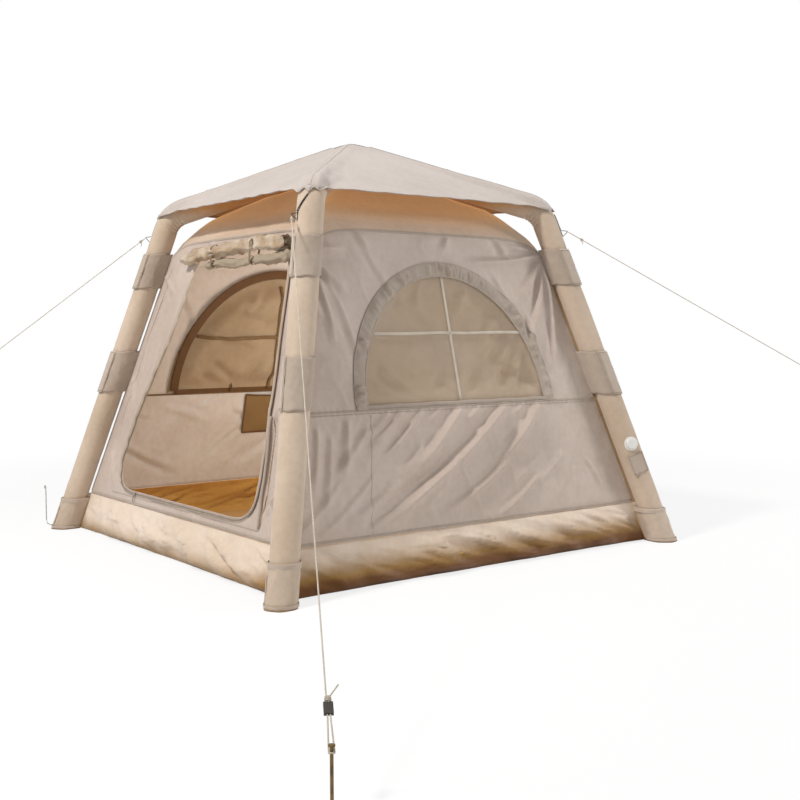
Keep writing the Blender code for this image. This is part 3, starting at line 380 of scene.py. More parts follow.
def tube(name, path, radius, look, body="tent", count=8):
    """A tube round a path; radius is one number or one for each point."""
    path = np.asarray(path, float)
    radii = np.broadcast_to(np.asarray(radius, float), len(path))
    turns = np.linspace(0, math.tau, count, endpoint=False)
    rings = [
        p + r * (np.outer(np.cos(turns), a) + np.outer(np.sin(turns), b))
        for p, r, a, b in zip(path, radii, *frames_along(path))
    ]
    return skin(name, rings, look, body)


def ribbon(name, path, normals, width, depth, look, body="tent", lift=0.0, flat=False, closed=False):
    """A band along a path, its back against the surface that the normals leave."""
    path = np.asarray(path, float)
    normals = np.broadcast_to(np.asarray(normals, float), path.shape)
    along = np.roll(path, -1, 0) - np.roll(path, 1, 0) if closed else np.gradient(path, axis=0)
    across = units(np.cross(normals, units(along)))
    widths = np.broadcast_to(np.asarray(width, float), len(path))
    section = ((-0.5, 0.0), (-0.5, 0.6), (-0.38, 1.0), (0.0, 1.0 if flat else 1.12),
               (0.38, 1.0), (0.5, 0.6), (0.5, 0.0))
    rings = [
        [p + a * (w * s) + n * (lift + depth * h) for s, h in section]
        for p, n, a, w in zip(path, normals, across, widths)
    ]
    return skin(name, rings, look, body, closed)


def join(name, pieces):
    """Several pieces of one finish and body as one."""
    with bpy.context.temp_override(active_object=pieces[0], selected_editable_objects=pieces):
        bpy.ops.object.join()
    pieces[0].name = name
    return pieces[0]


def resample(points, gap, closed=False):
    """Points of a line at even gaps, its own corners kept."""
    points = [np.asarray(p, float) for p in points]
    out = []
    for a, b in zip(points, points[1:] + points[:1] if closed else points[1:]):
        count = max(1, int(round(np.linalg.norm(b - a) / gap)))
        out.extend(a + (b - a) * i / count for i in range(count))
    return np.array(out if closed else [*out, points[-1]])


def level_line(half, height, gap):
    return resample([(-half, height), (half, height)], gap)


def step(low, high, value):
    t = np.clip((np.asarray(value, float) - low) / (high - low), 0, 1)
    return t * t * (3 - 2 * t)


def fractal(points, scale, octaves=3, seed=0.0):
    """Smooth noise, about -1 to 1, at each point."""
    shift = Vector((seed * 7.3, seed * 3.1, -seed * 5.7))
    return np.array([
        noise.fractal(Vector(p) * scale + shift, 1.0, 2.0, octaves) for p in points
    ])


def ridges(points, scale, seed=0.0):
    """Sharp-crested noise, 0 to 1, for creased cloth."""
    return (1 - np.abs(fractal(points, scale, 3, seed)) * 1.6).clip(0, 1) ** 3


def folds(u, z, lines):
    """Heights of listed folds: start, end, height, half width and how far it widens."""
    total = np.zeros_like(u)
    for u0, z0, u1, z1, high, wide, spread in lines:
        du, dz = u1 - u0, z1 - z0
        size = du * du + dz * dz
        t = ((u - u0) * du + (z - z0) * dz) / size
        bow = 0.03 * np.sin(np.pi * t.clip(0, 1)) * math.sqrt(size)
        d = ((u - u0) * dz - (z - z0) * du) / math.sqrt(size) + bow * (1 if high > 0 else -1)
        half = wide * (1 + spread * t.clip(0, 1))
        ends = step(-0.06, 0.12, t) * (1 - step(0.55, 1.08, t))
        total += high * ends * (np.exp(-np.abs(d / half) ** 1.4)
                                - 0.45 * np.exp(-((d - 1.7 * half) / half) ** 2))
    return total


# Shapes shared with the frame
def z_turn(degrees):
    return np.array(Matrix.Rotation(math.radians(degrees), 3, "Z"))


def leg_reach(height):
    return FOOT_REACH - SLOPE * height


def wall_reach(height):
    return leg_reach(height) - WALL_INSET


class Wall:
    """A wall's plane: u along it, z the true height, n out of it."""

    def __init__(self, degrees):
        self.turn = z_turn(degrees)
        self.out = self.turn @ np.array((1, 0, SLOPE)) / SLANT

    def at(self, u, z, n=0.0):
        u, z, n = np.broadcast_arrays(*(np.asarray(values, float) for values in (u, z, n)))
        flat = np.stack((wall_reach(z), u, z), -1)
        return flat @ self.turn.T + n[..., None] * self.out


SIDES = {name: Wall(degrees) for name, degrees in WALLS.items()}


def beam_axis():
    """Places and directions along a beam's axis in its corner frame, foot to hub."""
    foot = np.array((FOOT_REACH * DIAGONAL, 0))
    shoulder = np.array((SHOULDER_REACH * DIAGONAL, SHOULDER))
    hub = np.array((0.0, HUB))
    up, inward = units(shoulder - foot), units(hub - shoulder)
    turn = math.acos(up @ inward)
    start = shoulder - up * ELBOW * math.tan(turn / 2)
    centre = start + np.array((-up[1], up[0])) * ELBOW
    end = shoulder + inward * ELBOW * math.tan(turn / 2)
    places = [foot + (start - foot) * i / LEG_STEPS for i in range(LEG_STEPS)]
    ways = [up] * LEG_STEPS
    for i in range(ELBOW_STEPS + 1):
        a = turn * i / ELBOW_STEPS
        spin = np.array(((math.cos(a), -math.sin(a)), (math.sin(a), math.cos(a))))
        places.append(centre + spin @ (start - centre))
        ways.append(spin @ up)
    places += [end + (hub - end) * i / ARM_STEPS for i in range(1, ARM_STEPS + 1)]
    ways += [inward] * ARM_STEPS
    return np.array(places), np.array(ways), centre


AXIS, WAYS, ELBOW_CENTRE = beam_axis()
LEG_UP = WAYS[0]


def corner_turn(corner):
    return z_turn(CORNERS[corner])


def leg_at(corner, turns, heights, radii):
    """Points round a leg, cut level: turn 0 faces out along the diagonal."""
    turns, heights, radii = np.broadcast_arrays(turns, heights, radii)
    outward = np.array((LEG_UP[1], 0, -LEG_UP[0]))
    up = np.array((LEG_UP[0], 0, LEG_UP[1]))
    centre = np.stack((leg_reach(heights) * DIAGONAL, heights * 0, heights), -1)
    out = np.cos(turns)[..., None] * outward + np.sin(turns)[..., None] * SIDEWAYS
    point = centre + out * radii[..., None]
    point += up * ((heights - point[..., 2]) / up[2])[..., None]
    return point @ corner_turn(corner).T


def side_shares(steps):
    return np.sin(math.pi * (np.arange(steps + 1) / steps - 0.5))


def roof_height(level, share):
    reach_share, middle_rise, corner_rise = level
    middle = WALL_TOP + (ROOF_APEX - WALL_TOP) * middle_rise
    corner = WALL_CORNER + (ROOF_APEX - WALL_CORNER) * corner_rise
    return middle + (corner - middle) * np.abs(share) ** (3 + 5 * reach_share**3)


def beam_top(diagonal, lateral):
    """Height of cloth on a beam, its elbow or its leg, so far beside the beam's plane."""
    out = BEAM + 0.0073
    slope = FLY_SLOPE / DIAGONAL
    over = np.sqrt(np.maximum(out**2 - lateral**2, 0))
    radius = ELBOW + over
    past = diagonal - ELBOW_CENTRE[0]
    leg_out = radius / math.hypot(1, SLOPE * DIAGONAL)
    on_arm = HUB - slope * diagonal + over * math.hypot(1, slope)
    on_bend = ELBOW_CENTRE[1] + np.sqrt(np.maximum(radius**2 - past**2, 0))
    leg_top = ELBOW_CENTRE[1] + np.sqrt(radius**2 - leg_out**2)
    on_leg = leg_top - (past - leg_out) / (SLOPE * DIAGONAL)
    beyond = np.where(past <= leg_out, on_bend, on_leg)
    height = np.where(past <= radius * math.sin(math.atan(slope)), on_arm, beyond)
    return np.where((np.abs(lateral) < out) & (diagonal > 0.085), height, -1.0)


def fly_height(reach, share, share_out):
    """Straight panels from the apex to the hem, laid over the beams, pulled down at the corners."""
    soft = np.sqrt(reach**2 + 0.024**2)
    panel = FLY_APEX - FLY_SLOPE * soft - 0.034 * share_out**2
    panel = panel - 0.06 * share_out**12 * np.abs(share) ** 16
    along = np.abs(share) * reach
    rest = beam_top((reach + along) / DIAGONAL, (reach - along) / DIAGONAL)
    near = np.maximum(0.012 - np.abs(panel - rest), 0) / 0.012
    return np.maximum(panel, rest) + near**2 * 0.003


def through(points, steps):
    points = [Vector(point) for point in points]
    ends = [points[0] * 2 - points[1], *points, points[-1] * 2 - points[-2]]
    curve = []
    for before, start, end, after in zip(ends, ends[1:], ends[2:], ends[3:]):
        first = start + (end - before) / 6
        second = end - (after - start) / 6
        curve.extend(interpolate_bezier(start, first, second, end, steps + 1)[:-1])
    return [*curve, points[-1]]


def wall_outline(cut):
    base = TUB_HIGH + 0.0003 + 0.002 * SLOPE
    corner = wall_reach(WALL_CORNER)
    points = [(-wall_reach(base) + cut, base), (wall_reach(base) - cut, base)]
    for share in side_shares(40)[::-1]:
        points.append((share * (corner - cut), roof_height(ROOF_SHARES[0], share)))
    return points


def arch(half, low, top, count=64, grow=0.0):
    turns = np.linspace(0, math.pi, count + 1)
    return [((half + grow) * math.cos(a), low + (top + grow - low) * math.sin(a)) for a in turns]


def door_loop(grow=0.0):
    """The door's opening from the middle of its sill up the right side and round, u and z."""
    sides = []
    for shares in (DOOR_RIGHT_SHARES, DOOR_LEFT_SHARES):
        half = [(x * 0.664, 0.25 + y * 1.135, 0) for x, y in shares]
        sides.append([(p[0], p[1]) for p in [half[0], half[1], *through(half[2:-1], 6), half[-1]]])
    loop = [*sides[0], *[(-u, z) for u, z in reversed(sides[1][1:-1])]]
    if grow:
        line = np.array(loop)
        ways = units(np.roll(line, -1, 0) - np.roll(line, 1, 0))
        loop = [tuple(p) for p in line + np.stack((ways[:, 1], -ways[:, 0]), 1) * grow]
    return loop


def inside(points, loop):
    """Which points lie inside a closed loop."""
    x, y = points[:, 0], points[:, 1]
    hit = np.zeros(len(points), bool)
    for (x0, y0), (x1, y1) in zip(loop, [*loop[1:], loop[0]]):
        crosses = (y0 > y) != (y1 > y)
        if y0 != y1:
            hit ^= crosses & (x < (x1 - x0) * (y - y0) / (y1 - y0) + x0)
    return hit


def gap_to(points, loop):
    """Distance of each point from a closed loop."""
    best = np.full(len(points), 9.0)
    for a, b in zip(loop, [*loop[1:], loop[0]]):
        a, b = np.asarray(a, float), np.asarray(b, float)
        along = b - a
        t = (((points - a) @ along) / max(along @ along, 1e-12)).clip(0, 1)
        best = np.minimum(best, np.linalg.norm(points - a - t[:, None] * along, axis=1))
    return best


def filled(outer, holes, gap):
    """Flat points and triangles that fill an outline round its holes."""
    loops = [resample(loop, gap, True) for loop in (outer, *holes)]

    def within(points):
        keep = inside(points, loops[0])
        for loop in loops[1:]:
            keep &= ~inside(points, loop)
        return keep

    low, high = loops[0].min(0), loops[0].max(0)
    rows = []
    for i, v in enumerate(np.arange(low[1] + gap / 2, high[1], gap * 0.87)):
        us = np.arange(low[0] + gap / 2 * (i % 2), high[0], gap)
        rows.append(np.stack((us, np.full_like(us, v)), 1))
    inner = np.concatenate(rows)
    near = np.min([gap_to(inner, loop) for loop in loops], 0)
    points = np.concatenate([*loops, inner[within(inner) & (near > gap * 0.55)]])
    edges, start = [], 0
    for loop in loops:
        edges += [(start + i, start + (i + 1) % len(loop)) for i in range(len(loop))]
        start += len(loop)
    found = delaunay_2d_cdt([Vector(p) for p in points], edges, [], 0, 1e-6)
    points = np.array([tuple(p) for p in found[0]])
    faces = np.array(found[2])
    faces = faces[within(points[faces].mean(1))]
    a, b, c = (points[faces[:, k]] for k in range(3))
    turned = (b[:, 0] - a[:, 0]) * (c[:, 1] - a[:, 1]) - (b[:, 1] - a[:, 1]) * (c[:, 0] - a[:, 0])
    faces[turned < 0] = faces[turned < 0][:, ::-1]
    return points, [tuple(map(int, face)) for face in faces]


def seeded(flat, seed):
    """Flat points with a third measure, so that each wall draws its own noise."""
    return np.concatenate((flat, np.full((len(flat), 1), seed)), 1)


def metres(table):
    """Folds as start, end, height and half width in millimetres, and how far each widens in tenths."""
    return tuple((*(value / 1000 for value in row[:6]), row[6] / 10) for row in table)


# Folds of each wall
RIGHT_FOLDS = metres((
    (660, 1360, 460, 920, 10, 14, 8), (655, 1370, 400, 1130, 7, 12, 8), (665, 1360, 640, 980, 9, 12, 6),
    (660, 1385, 150, 1330, 9, 14, 7), (655, 1340, 530, 1080, -7, 12, 7),
    (660, 1400, 420, 1430, 6, 12, 5), (495, 1100, 500, 800, 6, 12, 5), (650, 1080, 615, 840, 7, 11, 3),
    (270, 690, -420, 285, 14, 17, 7), (-120, 440, -660, 190, 9, 18, 3), (0, 690, -370, 400, 12, 16, 10),
    (-215, 685, -500, 475, 8, 10, 6), (-325, 685, -550, 520, 8, 11, 8),
    (-400, 680, -560, 575, 6, 10, 5), (475, 690, 160, 445, 9, 16, 9), (210, 435, -220, 240, 8, 13, 5),
    (385, 360, 100, 205, 6, 9, 5), (-260, 400, -630, 215, -6, 18, 3), (400, 620, 120, 400, 5, 10, 5),
    (620, 380, 590, 220, 3, 10, 5), (710, 420, 790, 240, 3, 10, 4), (-620, 660, -690, 400, 5, 14, 6),
    (-710, 600, -800, 280, 4, 14, 5), (-770, 640, -840, 360, 4, 12, 5),
    (-680, 1300, -520, 1180, 8, 13, 8), (-680, 1350, -500, 1360, 8, 14, 8),
    (-670, 1250, -620, 950, 7, 13, 6), (100, 688, 20, 625, 5, 9, 4), (370, 688, 300, 640, 4, 8, 4),
    (-120, 688, -200, 630, 4, 8, 4), (-480, 1500, -360, 1340, 5, 14, 6),
    (100, 1490, 20, 1350, 4, 14, 6), (340, 1490, 450, 1340, 5, 14, 6),
))
FRONT_FOLDS = metres((
    (-500, 1330, -560, 750, 8, 14, 6), (-620, 1200, -660, 720, -7, 14, 5),
    (-660, 1300, -500, 1180, 6, 12, 5), (-780, 800, -660, 550, 7, 13, 5),
    (-840, 420, -720, 240, 7, 13, 5), (680, 680, 760, 240, -10, 10, 3), (710, 660, 830, 220, 8, 12, 4),
    (640, 1220, 680, 920, 5, 10, 4), (860, 420, 720, 260, 7, 13, 5), (-300, 235, 100, 228, 5, 10, 3),
    (100, 232, 520, 222, -5, 10, 3), (-300, 1480, -200, 1420, 4, 12, 4),
    (220, 1480, 100, 1420, 4, 12, 4),
))
PLAIN_FOLDS = metres((
    (660, 1360, 440, 950, 9, 14, 8), (660, 1370, 600, 1000, -7, 12, 6),
    (660, 1385, 200, 1340, 8, 14, 6), (-660, 1360, -460, 1000, 9, 14, 8),
    (-660, 1385, -240, 1350, 8, 14, 6), (-670, 1300, -620, 950, 7, 12, 5),
    (840, 400, 550, 240, 9, 14, 6), (-840, 420, -500, 240, 9, 14, 6), (200, 460, -140, 280, 8, 16, 5),
    (-200, 580, 160, 440, 6, 16, 5), (620, 620, 300, 500, 7, 14, 5), (-600, 620, -320, 520, -6, 14, 5),
    (-300, 684, -380, 630, 6, 10, 4), (100, 684, 20, 630, 6, 10, 4), (340, 684, 280, 630, 6, 10, 4),
    (860, 600, 660, 560, 6, 12, 4), (-860, 600, -660, 550, 6, 12, 4),
))


def fine_creases(seed, count, low, high, lean):
    """Long thin creases that all run the same way, drawn from one seed."""
    rng = random.Random(seed)
    made = []
    for _ in range(count):
        u, z = rng.uniform(-0.75, 0.80), rng.uniform(low, high)
        size = rng.uniform(0.22, 0.5)
        turn = math.radians(lean + rng.uniform(-9, 9))
        made.append((u, z, u + size * math.cos(turn), z + size * math.sin(turn),
                     rng.uniform(0.002, 0.005), rng.uniform(0.010, 0.018), rng.uniform(0.2, 0.8)))
    return tuple(made)


RIGHT_FOLDS += fine_creases(71, 9, 0.36, 0.66, -146) + fine_creases(72, 8, 1.10, 1.42, -70)
FRONT_FOLDS += fine_creases(73, 16, 0.40, 1.30, -80)
PLAIN_FOLDS += fine_creases(74, 14, 0.36, 0.68, -140)
FOLDS = {"right": RIGHT_FOLDS, "front": FRONT_FOLDS, "back": PLAIN_FOLDS,
         "left": tuple((-a, b, -c, d, e, f, g) for a, b, c, d, e, f, g in PLAIN_FOLDS)}
SEEDS = {"right": 1.0, "front": 2.0, "back": 3.0, "left": 4.0}


def wall_hole(name):
    return door_loop() if name == "front" else arch(*WINDOW)


def wall_relief(name, u, z):
    """How far a wall's cloth stands out of its plane."""
    u, z = np.broadcast_arrays(np.asarray(u, float), np.asarray(z, float))
    shape = u.shape
    flat = np.stack((u.ravel(), z.ravel()), 1)
    at, seed = seeded(flat, SEEDS[name]), SEEDS[name]
    total = 2.2 * folds(*flat.T, FOLDS[name])
    total += 0.006 * fractal(at, 4.0, 2, seed) + 0.0012 * fractal(at, 13.0, 2, seed)
    total += 0.0025 * ridges(at * (1, 0.6, 1), 5.5, seed + 9)
    edge = gap_to(flat, wall_outline(0))
    hole = gap_to(flat, wall_hole(name))
    seam = 1.0 if name == "front" else np.abs(flat[:, 1] - SILL_SEAM)
    near = step(0.0, 0.035, edge) * (0.3 + 0.7 * step(0.0, 0.06, hole))
    near = near * (0.45 + 0.55 * step(0.0, 0.02, seam))
    pucker = 0.0012 * np.sin(flat[:, 0] * 210) * np.exp(-(seam / 0.02) ** 2)
    return (np.maximum(total * near, -0.009) + pucker + 0.0015 * step(0, 0.03, edge)).reshape(shape)


def on_wall(name, line, lift=0.0):
    """Points of u and z laid on a wall's cloth."""
    return SIDES[name].at(*line.T, wall_relief(name, *line.T) + lift)


def build_walls(looks):
    pieces = {}
    for name in SIDES:
        cut = 0.0023 if name in ("front", "back") else 0
        gap = {"right": 0.0078, "front": 0.009}.get(name, 0.013)
        flat, faces = filled(wall_outline(cut), [wall_hole(name)], gap)
        made = mesh_object(f"cloth_wall_{name}", on_wall(name, flat), faces, looks["wall"])
        thicken(made, two_looks=True)
        stand_in(f"wall_{name}")
        pieces[name] = made
    return pieces


def wall_trims(looks):
    """Seams, patches and bands sewn on the walls, and a dark strip of painted shade down a slit in the
    front wall.
    """
    made = []
    corner = wall_reach(WALL_CORNER)
    eave = [(s * corner, roof_height(ROOF_SHARES[0], s) - 0.006) for s in side_shares(90)]
    for name, wall in SIDES.items():
        lines = [(resample(eave, 0.02), 0.012, 0.0022)]
        if name != "front":
            for z, wide, deep in ((0.692, 0.009, 0.002), (0.679, 0.004, 0.0014)):
                lines.append((level_line(wall_reach(z) - 0.004, z, 0.012), wide, deep))
        if name == "right":
            lines.append((resample([(-0.50, 0.672), (-0.584, 0.2)], 0.012), 0.0035, 0.0008))
        if name == "front":
            lines.append((level_line(0.72, 0.222, 0.015), 0.006, 0.0016))
            patch = resample([(0.660, 0.67), (0.688, 0.50), (0.727, 0.23)], 0.015)
            lines.append((patch, 0.014, 0.009))
            for side in (-1, 1):
                slope = resample([(side * 0.60, 1.33), (side * 0.80, 0.55)], 0.015)
                lines.append((slope, 0.004, 0.0012))
        lines.append((level_line(wall_reach(0.197) - 0.003, 0.197, 0.015), 0.010, 0.002))
        for line, wide, deep in lines:
            made.append(ribbon("seam", on_wall(name, line), wall.out, wide, deep, looks["trim"]))
    # A thin dark strip down the front wall by the near leg: painted shade in the slit there.
    points = on_wall("front", resample([(0.672, 0.66), (0.700, 0.50), (0.738, 0.24)], 0.015))
    wide = 0.009 * np.sin(np.linspace(0.05, 0.95, len(points)) * math.pi) ** 0.5
    made.append(ribbon("slit_shade", points, SIDES["front"].out, wide, 0.0008, looks["web"], flat=True))
    join("wall_seams", made)


def corner_pipings(looks):
    made = []
    z = np.linspace(0.20, 1.37, 110)
    path = np.stack((wall_reach(z) * DIAGONAL - 0.001, 0.0006 * np.sin(z * 60), z), 1)
    for corner in CORNERS:
        made.append(tube("piping", path @ corner_turn(corner).T, 0.0038, looks["trim"]))
    join("corner_pipings", made)


# Windows
def window_net(name, wall, looks):
    """The net, a little slack, and the tapes across it."""
    half, sill, top = WINDOW
    flat, faces = filled(arch(half + 0.004, sill - 0.003, top, 64, 0.004), [], 0.02)
    edge = step(0, 0.05, gap_to(flat, arch(half, sill, top)))
    slack = (0.003 * fractal(seeded(flat, SEEDS[name]), 5.0, 2, SEEDS[name]) - 0.002) * edge
    points = wall.at(*flat.T, np.maximum(slack, -0.0044) - 0.0014)
    net = mesh_object(f"net_{name}", points, faces, looks["net"])
    thicken(net, 0.0005, offset=0.0)
    stand_in(f"window_mesh_{name}")
    cross = []
    end = half * math.sqrt(1 - ((1.01 - sill) / (top - sill)) ** 2) - 0.004
    for line in ([(-end, 1.008), (end, 1.012)], [(0.0, sill + 0.002), (0.006, top - 0.004)]):
        u, z = resample(line, 0.02).T
        points = wall.at(u, z + 0.0012 * np.sin(u * 17 + z * 9), 0.0012)
        cross.append(ribbon("tape", points, wall.out, 0.013, 0.0012, looks["tape"], flat=True))
    join(f"net_tapes_{name}", cross)


def window_surround(name, wall, looks):
    """The gathered band round a window, with bindings along its edges and the sill."""
    half, sill, top = WINDOW
    rng = random.Random(int(SEEDS[name] * 11))
    turns = np.linspace(-0.035, math.pi + 0.035, 360)
    across = np.linspace(0, 1, 12)
    gathers = np.zeros((len(turns), len(across)))
    for _ in range(84):
        middle = rng.uniform(0, math.pi)
        wide = rng.uniform(0.007, 0.020)
        lean = rng.uniform(-0.05, 0.05)
        high = rng.uniform(0.003, 0.009)
        at_turn = turns[:, None] - middle - lean * (across[None, :] - 0.5)
        start = rng.choice((0.0, 0.35, 0.0))
        reach = step(start - 0.1, start + 0.3, across) * (1 - step(0.75, 1.05, across))
        gathers += high * np.exp(-np.abs(at_turn / wide) ** 1.5) * (reach + 0.25)
    crown = np.sin(math.pi * across.clip(0.02, 0.98)) ** 0.6
    grow = -0.006 + across * 0.062
    ring = []
    for a, gather in zip(turns, gathers):
        u = (half + grow) * math.cos(a)
        z = sill + (top + grow - sill) * math.sin(a)
        base = wall_relief(name, u, z) * step(0, 0.35, across) + 0.0022
        ring.append(wall.at(u, z, base + gather * crown + 0.002 * crown))
    surround = grid_object(f"surround_{name}", ring, looks["trim"])
    thicken(surround, 0.0009, offset=0.0)
    stand_in(f"window_surround_{name}")
    edges = []
    for grow, wide, lift, share in ((-0.004, 0.007, 0.0030, 0.3), (0.056, 0.006, 0.0026, 1)):
        line = np.array(arch(half, sill, top, 150, grow))
        points = wall.at(*line.T, wall_relief(name, *line.T) * share + lift)
        edges.append(ribbon("binding", points, wall.out, wide, 0.0016, looks["trim"]))
    line = level_line(half + 0.058, sill - 0.007, 0.012)
    line[:, 1] += 0.0012 * np.sin(line[:, 0] * 31)
    edges.append(ribbon("binding", on_wall(name, line, 0.001), wall.out, 0.016, 0.0028, looks["trim"]))
    join(f"window_bindings_{name}", edges)


FLAP_FOLDS = metres((
    (0, 720, 400, 1120, 12, 20, 10), (60, 720, 300, 1180, -9, 18, 9), (340, 720, 480, 980, 11, 18, 8),
    (200, 720, 440, 1020, 9, 16, 8), (-180, 710, -50, 930, 10, 18, 8),
    (-380, 870, -180, 700, 11, 18, 4), (-440, 800, -280, 700, 9, 16, 4),
    (-240, 1150, -20, 1080, 9, 20, 5), (-360, 1020, -100, 980, -8, 20, 5),
    (170, 1260, 70, 1070, 10, 18, 6), (40, 1160, 200, 1170, 8, 16, 5),
    (-100, 1250, -160, 1100, 8, 16, 6), (300, 900, 420, 840, 9, 16, 5),
))


def flap_outline():
    half, sill, top = WINDOW
    return arch(half + 0.05, sill - 0.012, top, 64, 0.05)


def flap_relief(name, flat):
    """How far the privacy panel stands out of its wall; it is slack, and keeps behind the net."""
    at = seeded(flat, SEEDS[name] + 20)
    edge = step(0.032, 0.12, gap_to(flat, flap_outline()))
    sign = 1 if name == "right" else -1
    relief = folds(flat[:, 0] * sign, flat[:, 1], FLAP_FOLDS) * 3.0
    relief += 0.006 * fractal(at, 4.0, 3) + 0.006 * ridges(at, 5.0, 3.0)
    return np.minimum(-0.0075 - 0.043 * edge + np.clip(relief * edge, -0.03, 0.042), -0.0072)


def window_flap(name, wall, looks):
    """The slack privacy panel zipped in behind the net."""
    flat, faces = filled(flap_outline(), [], 0.016)
    points = wall.at(*flat.T, flap_relief(name, flat))
    made = mesh_object(f"privacy_panel_{name}", points, faces, looks["panel"])
    thicken(made, two_looks=True)
    stand_in(f"window_flap_{name}")


def window_inside(name, wall, looks):
    """The zip band, the tapes and the seam that show on the inside of a window wall. Their dark is
    painted shade of thicker layers against the light through the cloth, on the band partly its own
    colour; the tapes are the shade of those on the net.
    """
    half, sill, top = WINDOW

    def strip(label, line, n, width, depth, look, flat=False):
        return ribbon(label, wall.at(*line.T, n)[::-1], -wall.out, width, depth, look, flat=flat)

    # The zip band round the arch and along the sill: dark brown, partly its own colour, partly painted
    # shade of its thick layers against the light through the cloth.
    line = np.array(arch(half, sill, top, 90, 0.062))
    inner = np.minimum(wall_relief(name, *line.T), 0)
    made = [strip("band", line, inner - 0.0165, 0.046, 0.002, looks["band"])]
    line = level_line(half + 0.06, sill - 0.007, 0.015)
    lift = -0.0080 - 0.0085 * step(half - 0.07, half + 0.02, np.abs(line[:, 0]))
    made.append(strip("band", line, lift, 0.024, 0.0014, looks["band"]))
    join(f"inside_band_{name}", made)
    made = []
    # Dark lines of painted shade where the tapes on the net outside show through the panel.
    end = half * math.sqrt(1 - ((1.0 - sill) / (top - sill)) ** 2) + 0.04
    for line in ([(-end, 1.0), (end, 1.0)], [(0.0, sill), (0.0, top)]):
        line = resample(line, 0.012)
        lift = flap_relief(name, line) - 0.009
        made.append(strip("tape", line, lift, 0.018, 0.001, looks["shade_line"], flat=True))
    join(f"inside_tapes_{name}", made)
    # The sill seam, drawn dark as painted shade of its thicker layers against the light through the
    # cloth.
    line = level_line(wall_reach(SILL_SEAM) - 0.02, SILL_SEAM, 0.015)
    lift = np.minimum(wall_relief(name, *line.T), 0) - 0.0028
    strip(f"inside_seam_{name}", line, lift, 0.010, 0.003, looks["shade_line"])


# Inner roof
def build_inner_roof(looks):
    table = np.array(ROOF_SHARES)
    last = len(table) - 1
    levels = []
    for t in np.linspace(0, last, 40):
        i = min(int(t), last - 1)
        f = t - i
        before, a, b, after = table[[max(i - 1, 0), i, i + 1, min(i + 2, last)]]
        m0, m1 = (b - before) / 2, (after - a) / 2
        levels.append((2 * f**3 - 3 * f**2 + 1) * a + (f**3 - 2 * f**2 + f) * m0
                      + (3 * f**2 - 2 * f**3) * b + (f**3 - f**2) * m1)
    corner = wall_reach(WALL_CORNER)
    shares = side_shares(48)[:-1]
    edge = wall_reach(roof_height(ROOF_SHARES[0], shares))
    rings = []
    for level in levels:
        flat = np.stack((edge * level[0], corner * shares * level[0], roof_height(level, shares)), 1)
        rings.append(np.concatenate([flat @ wall.turn.T for wall in SIDES.values()]))
    points = np.array(rings)
    flat = points.reshape(-1, 3)
    relief = 0.006 * fractal(flat, 4.5, 3, 5.0) + 0.005 * ridges(flat, 5.0, 6.0) - 0.004
    near = step(0, 5, np.repeat(np.arange(len(levels)), points.shape[1]))
    flat[:, 2] += relief * near - 0.001
    made = grid_object("inner_canopy", points, looks["roof"], wrap_columns=True)
    thicken(made, two_looks=True)
    stand_in("inner_roof")
    seams = []
    for k in range(4):
        line = points[:-3, k * points.shape[1] // 4]
        seams.append(ribbon("seam", line, UP, 0.012, 0.003, looks["roof"][0]))
    seams = join("roof_seams", seams)


# Fly roof
FLY_CREASES = [
    ((0.488, -0.452), (0.700, -0.650), 0.012, 0.012), ((0.466, -0.375), (0.732, -0.636), 0.011, 0.011),
    ((0.560, -0.50), (0.700, -0.600), 0.014, -0.006), ((0.380, -0.47), (0.640, -0.690), 0.011, 0.008),
    *(((a * x, b * y), (c * x, d * y), 0.012, 0.006) for x, y in ((1, 1), (-1, 1), (-1, -1), (1, -1))
      for a, b, c, d in ((0.52, 0.40, 0.70, 0.63), (0.40, 0.52, 0.63, 0.70))),
]


def crease(flat, start, end, half, high):
    a, b = np.array(start), np.array(end)
    along = b - a
    t = ((flat[:, :2] - a) @ along) / (along @ along)
    off = flat[:, :2] - a - t[:, None] * along
    d = np.linalg.norm(off, axis=1)
    taper = step(-0.05, 0.35, t) * (1 - step(1.0, 1.15, t))
    return high * taper * np.exp(-(d / half) ** 1.5)


def outline(points):
    """The rim of a square grid of points."""
    return np.concatenate((points[-1, :-1], points[:0:-1, -1], points[0, :0:-1], points[:-1, 0]))


def build_fly(looks):
    grade = np.linspace(-1, 1, 121)
    grade = np.sin(grade * math.pi / 2) * 0.35 + grade * 0.65
    s, t = np.meshgrid(grade, grade, indexing="ij")
    rho = np.maximum(np.abs(s), np.abs(t))
    long_side = np.abs(s) >= np.abs(t)
    share = np.clip(np.where(long_side, t, s) / np.maximum(rho, 1e-9), -1, 1)
    full = 0.024 * np.exp(-((np.abs(share) - 0.91) / 0.045) ** 2) * rho**8
    reach = rho * (0.69 + 0.016 * share**6) + full
    x = np.where(long_side, np.sign(s) * reach, share * reach)
    y = np.where(long_side, share * reach, np.sign(t) * reach)
    points = np.stack((x, y, fly_height(reach, share, rho)), -1)
    flat, out = points.reshape(-1, 3), rho.ravel()
    relief = (0.003 * fractal(flat, 3.0, 2, 7.0) + 0.002 * ridges(flat, 4.0, 8.0)) * step(0.1, 0.5, out)
    for line in FLY_CREASES:
        relief += crease(flat, *line)
    edge = 1 - step(0.0, 0.03, 1 - out)
    relief += edge * 0.0015 * np.sin(np.where(long_side, y, x).ravel() * 37 + flat[:, 0] * 9)
    flat[:, 2] += np.maximum(relief, -0.002) * step(0.0, 0.2, out)
    made = grid_object("fly_canopy", points, looks["fly"], flip=True)
    thicken(made, two_looks=True)
    stand_in("fly_roof")
    return made, points


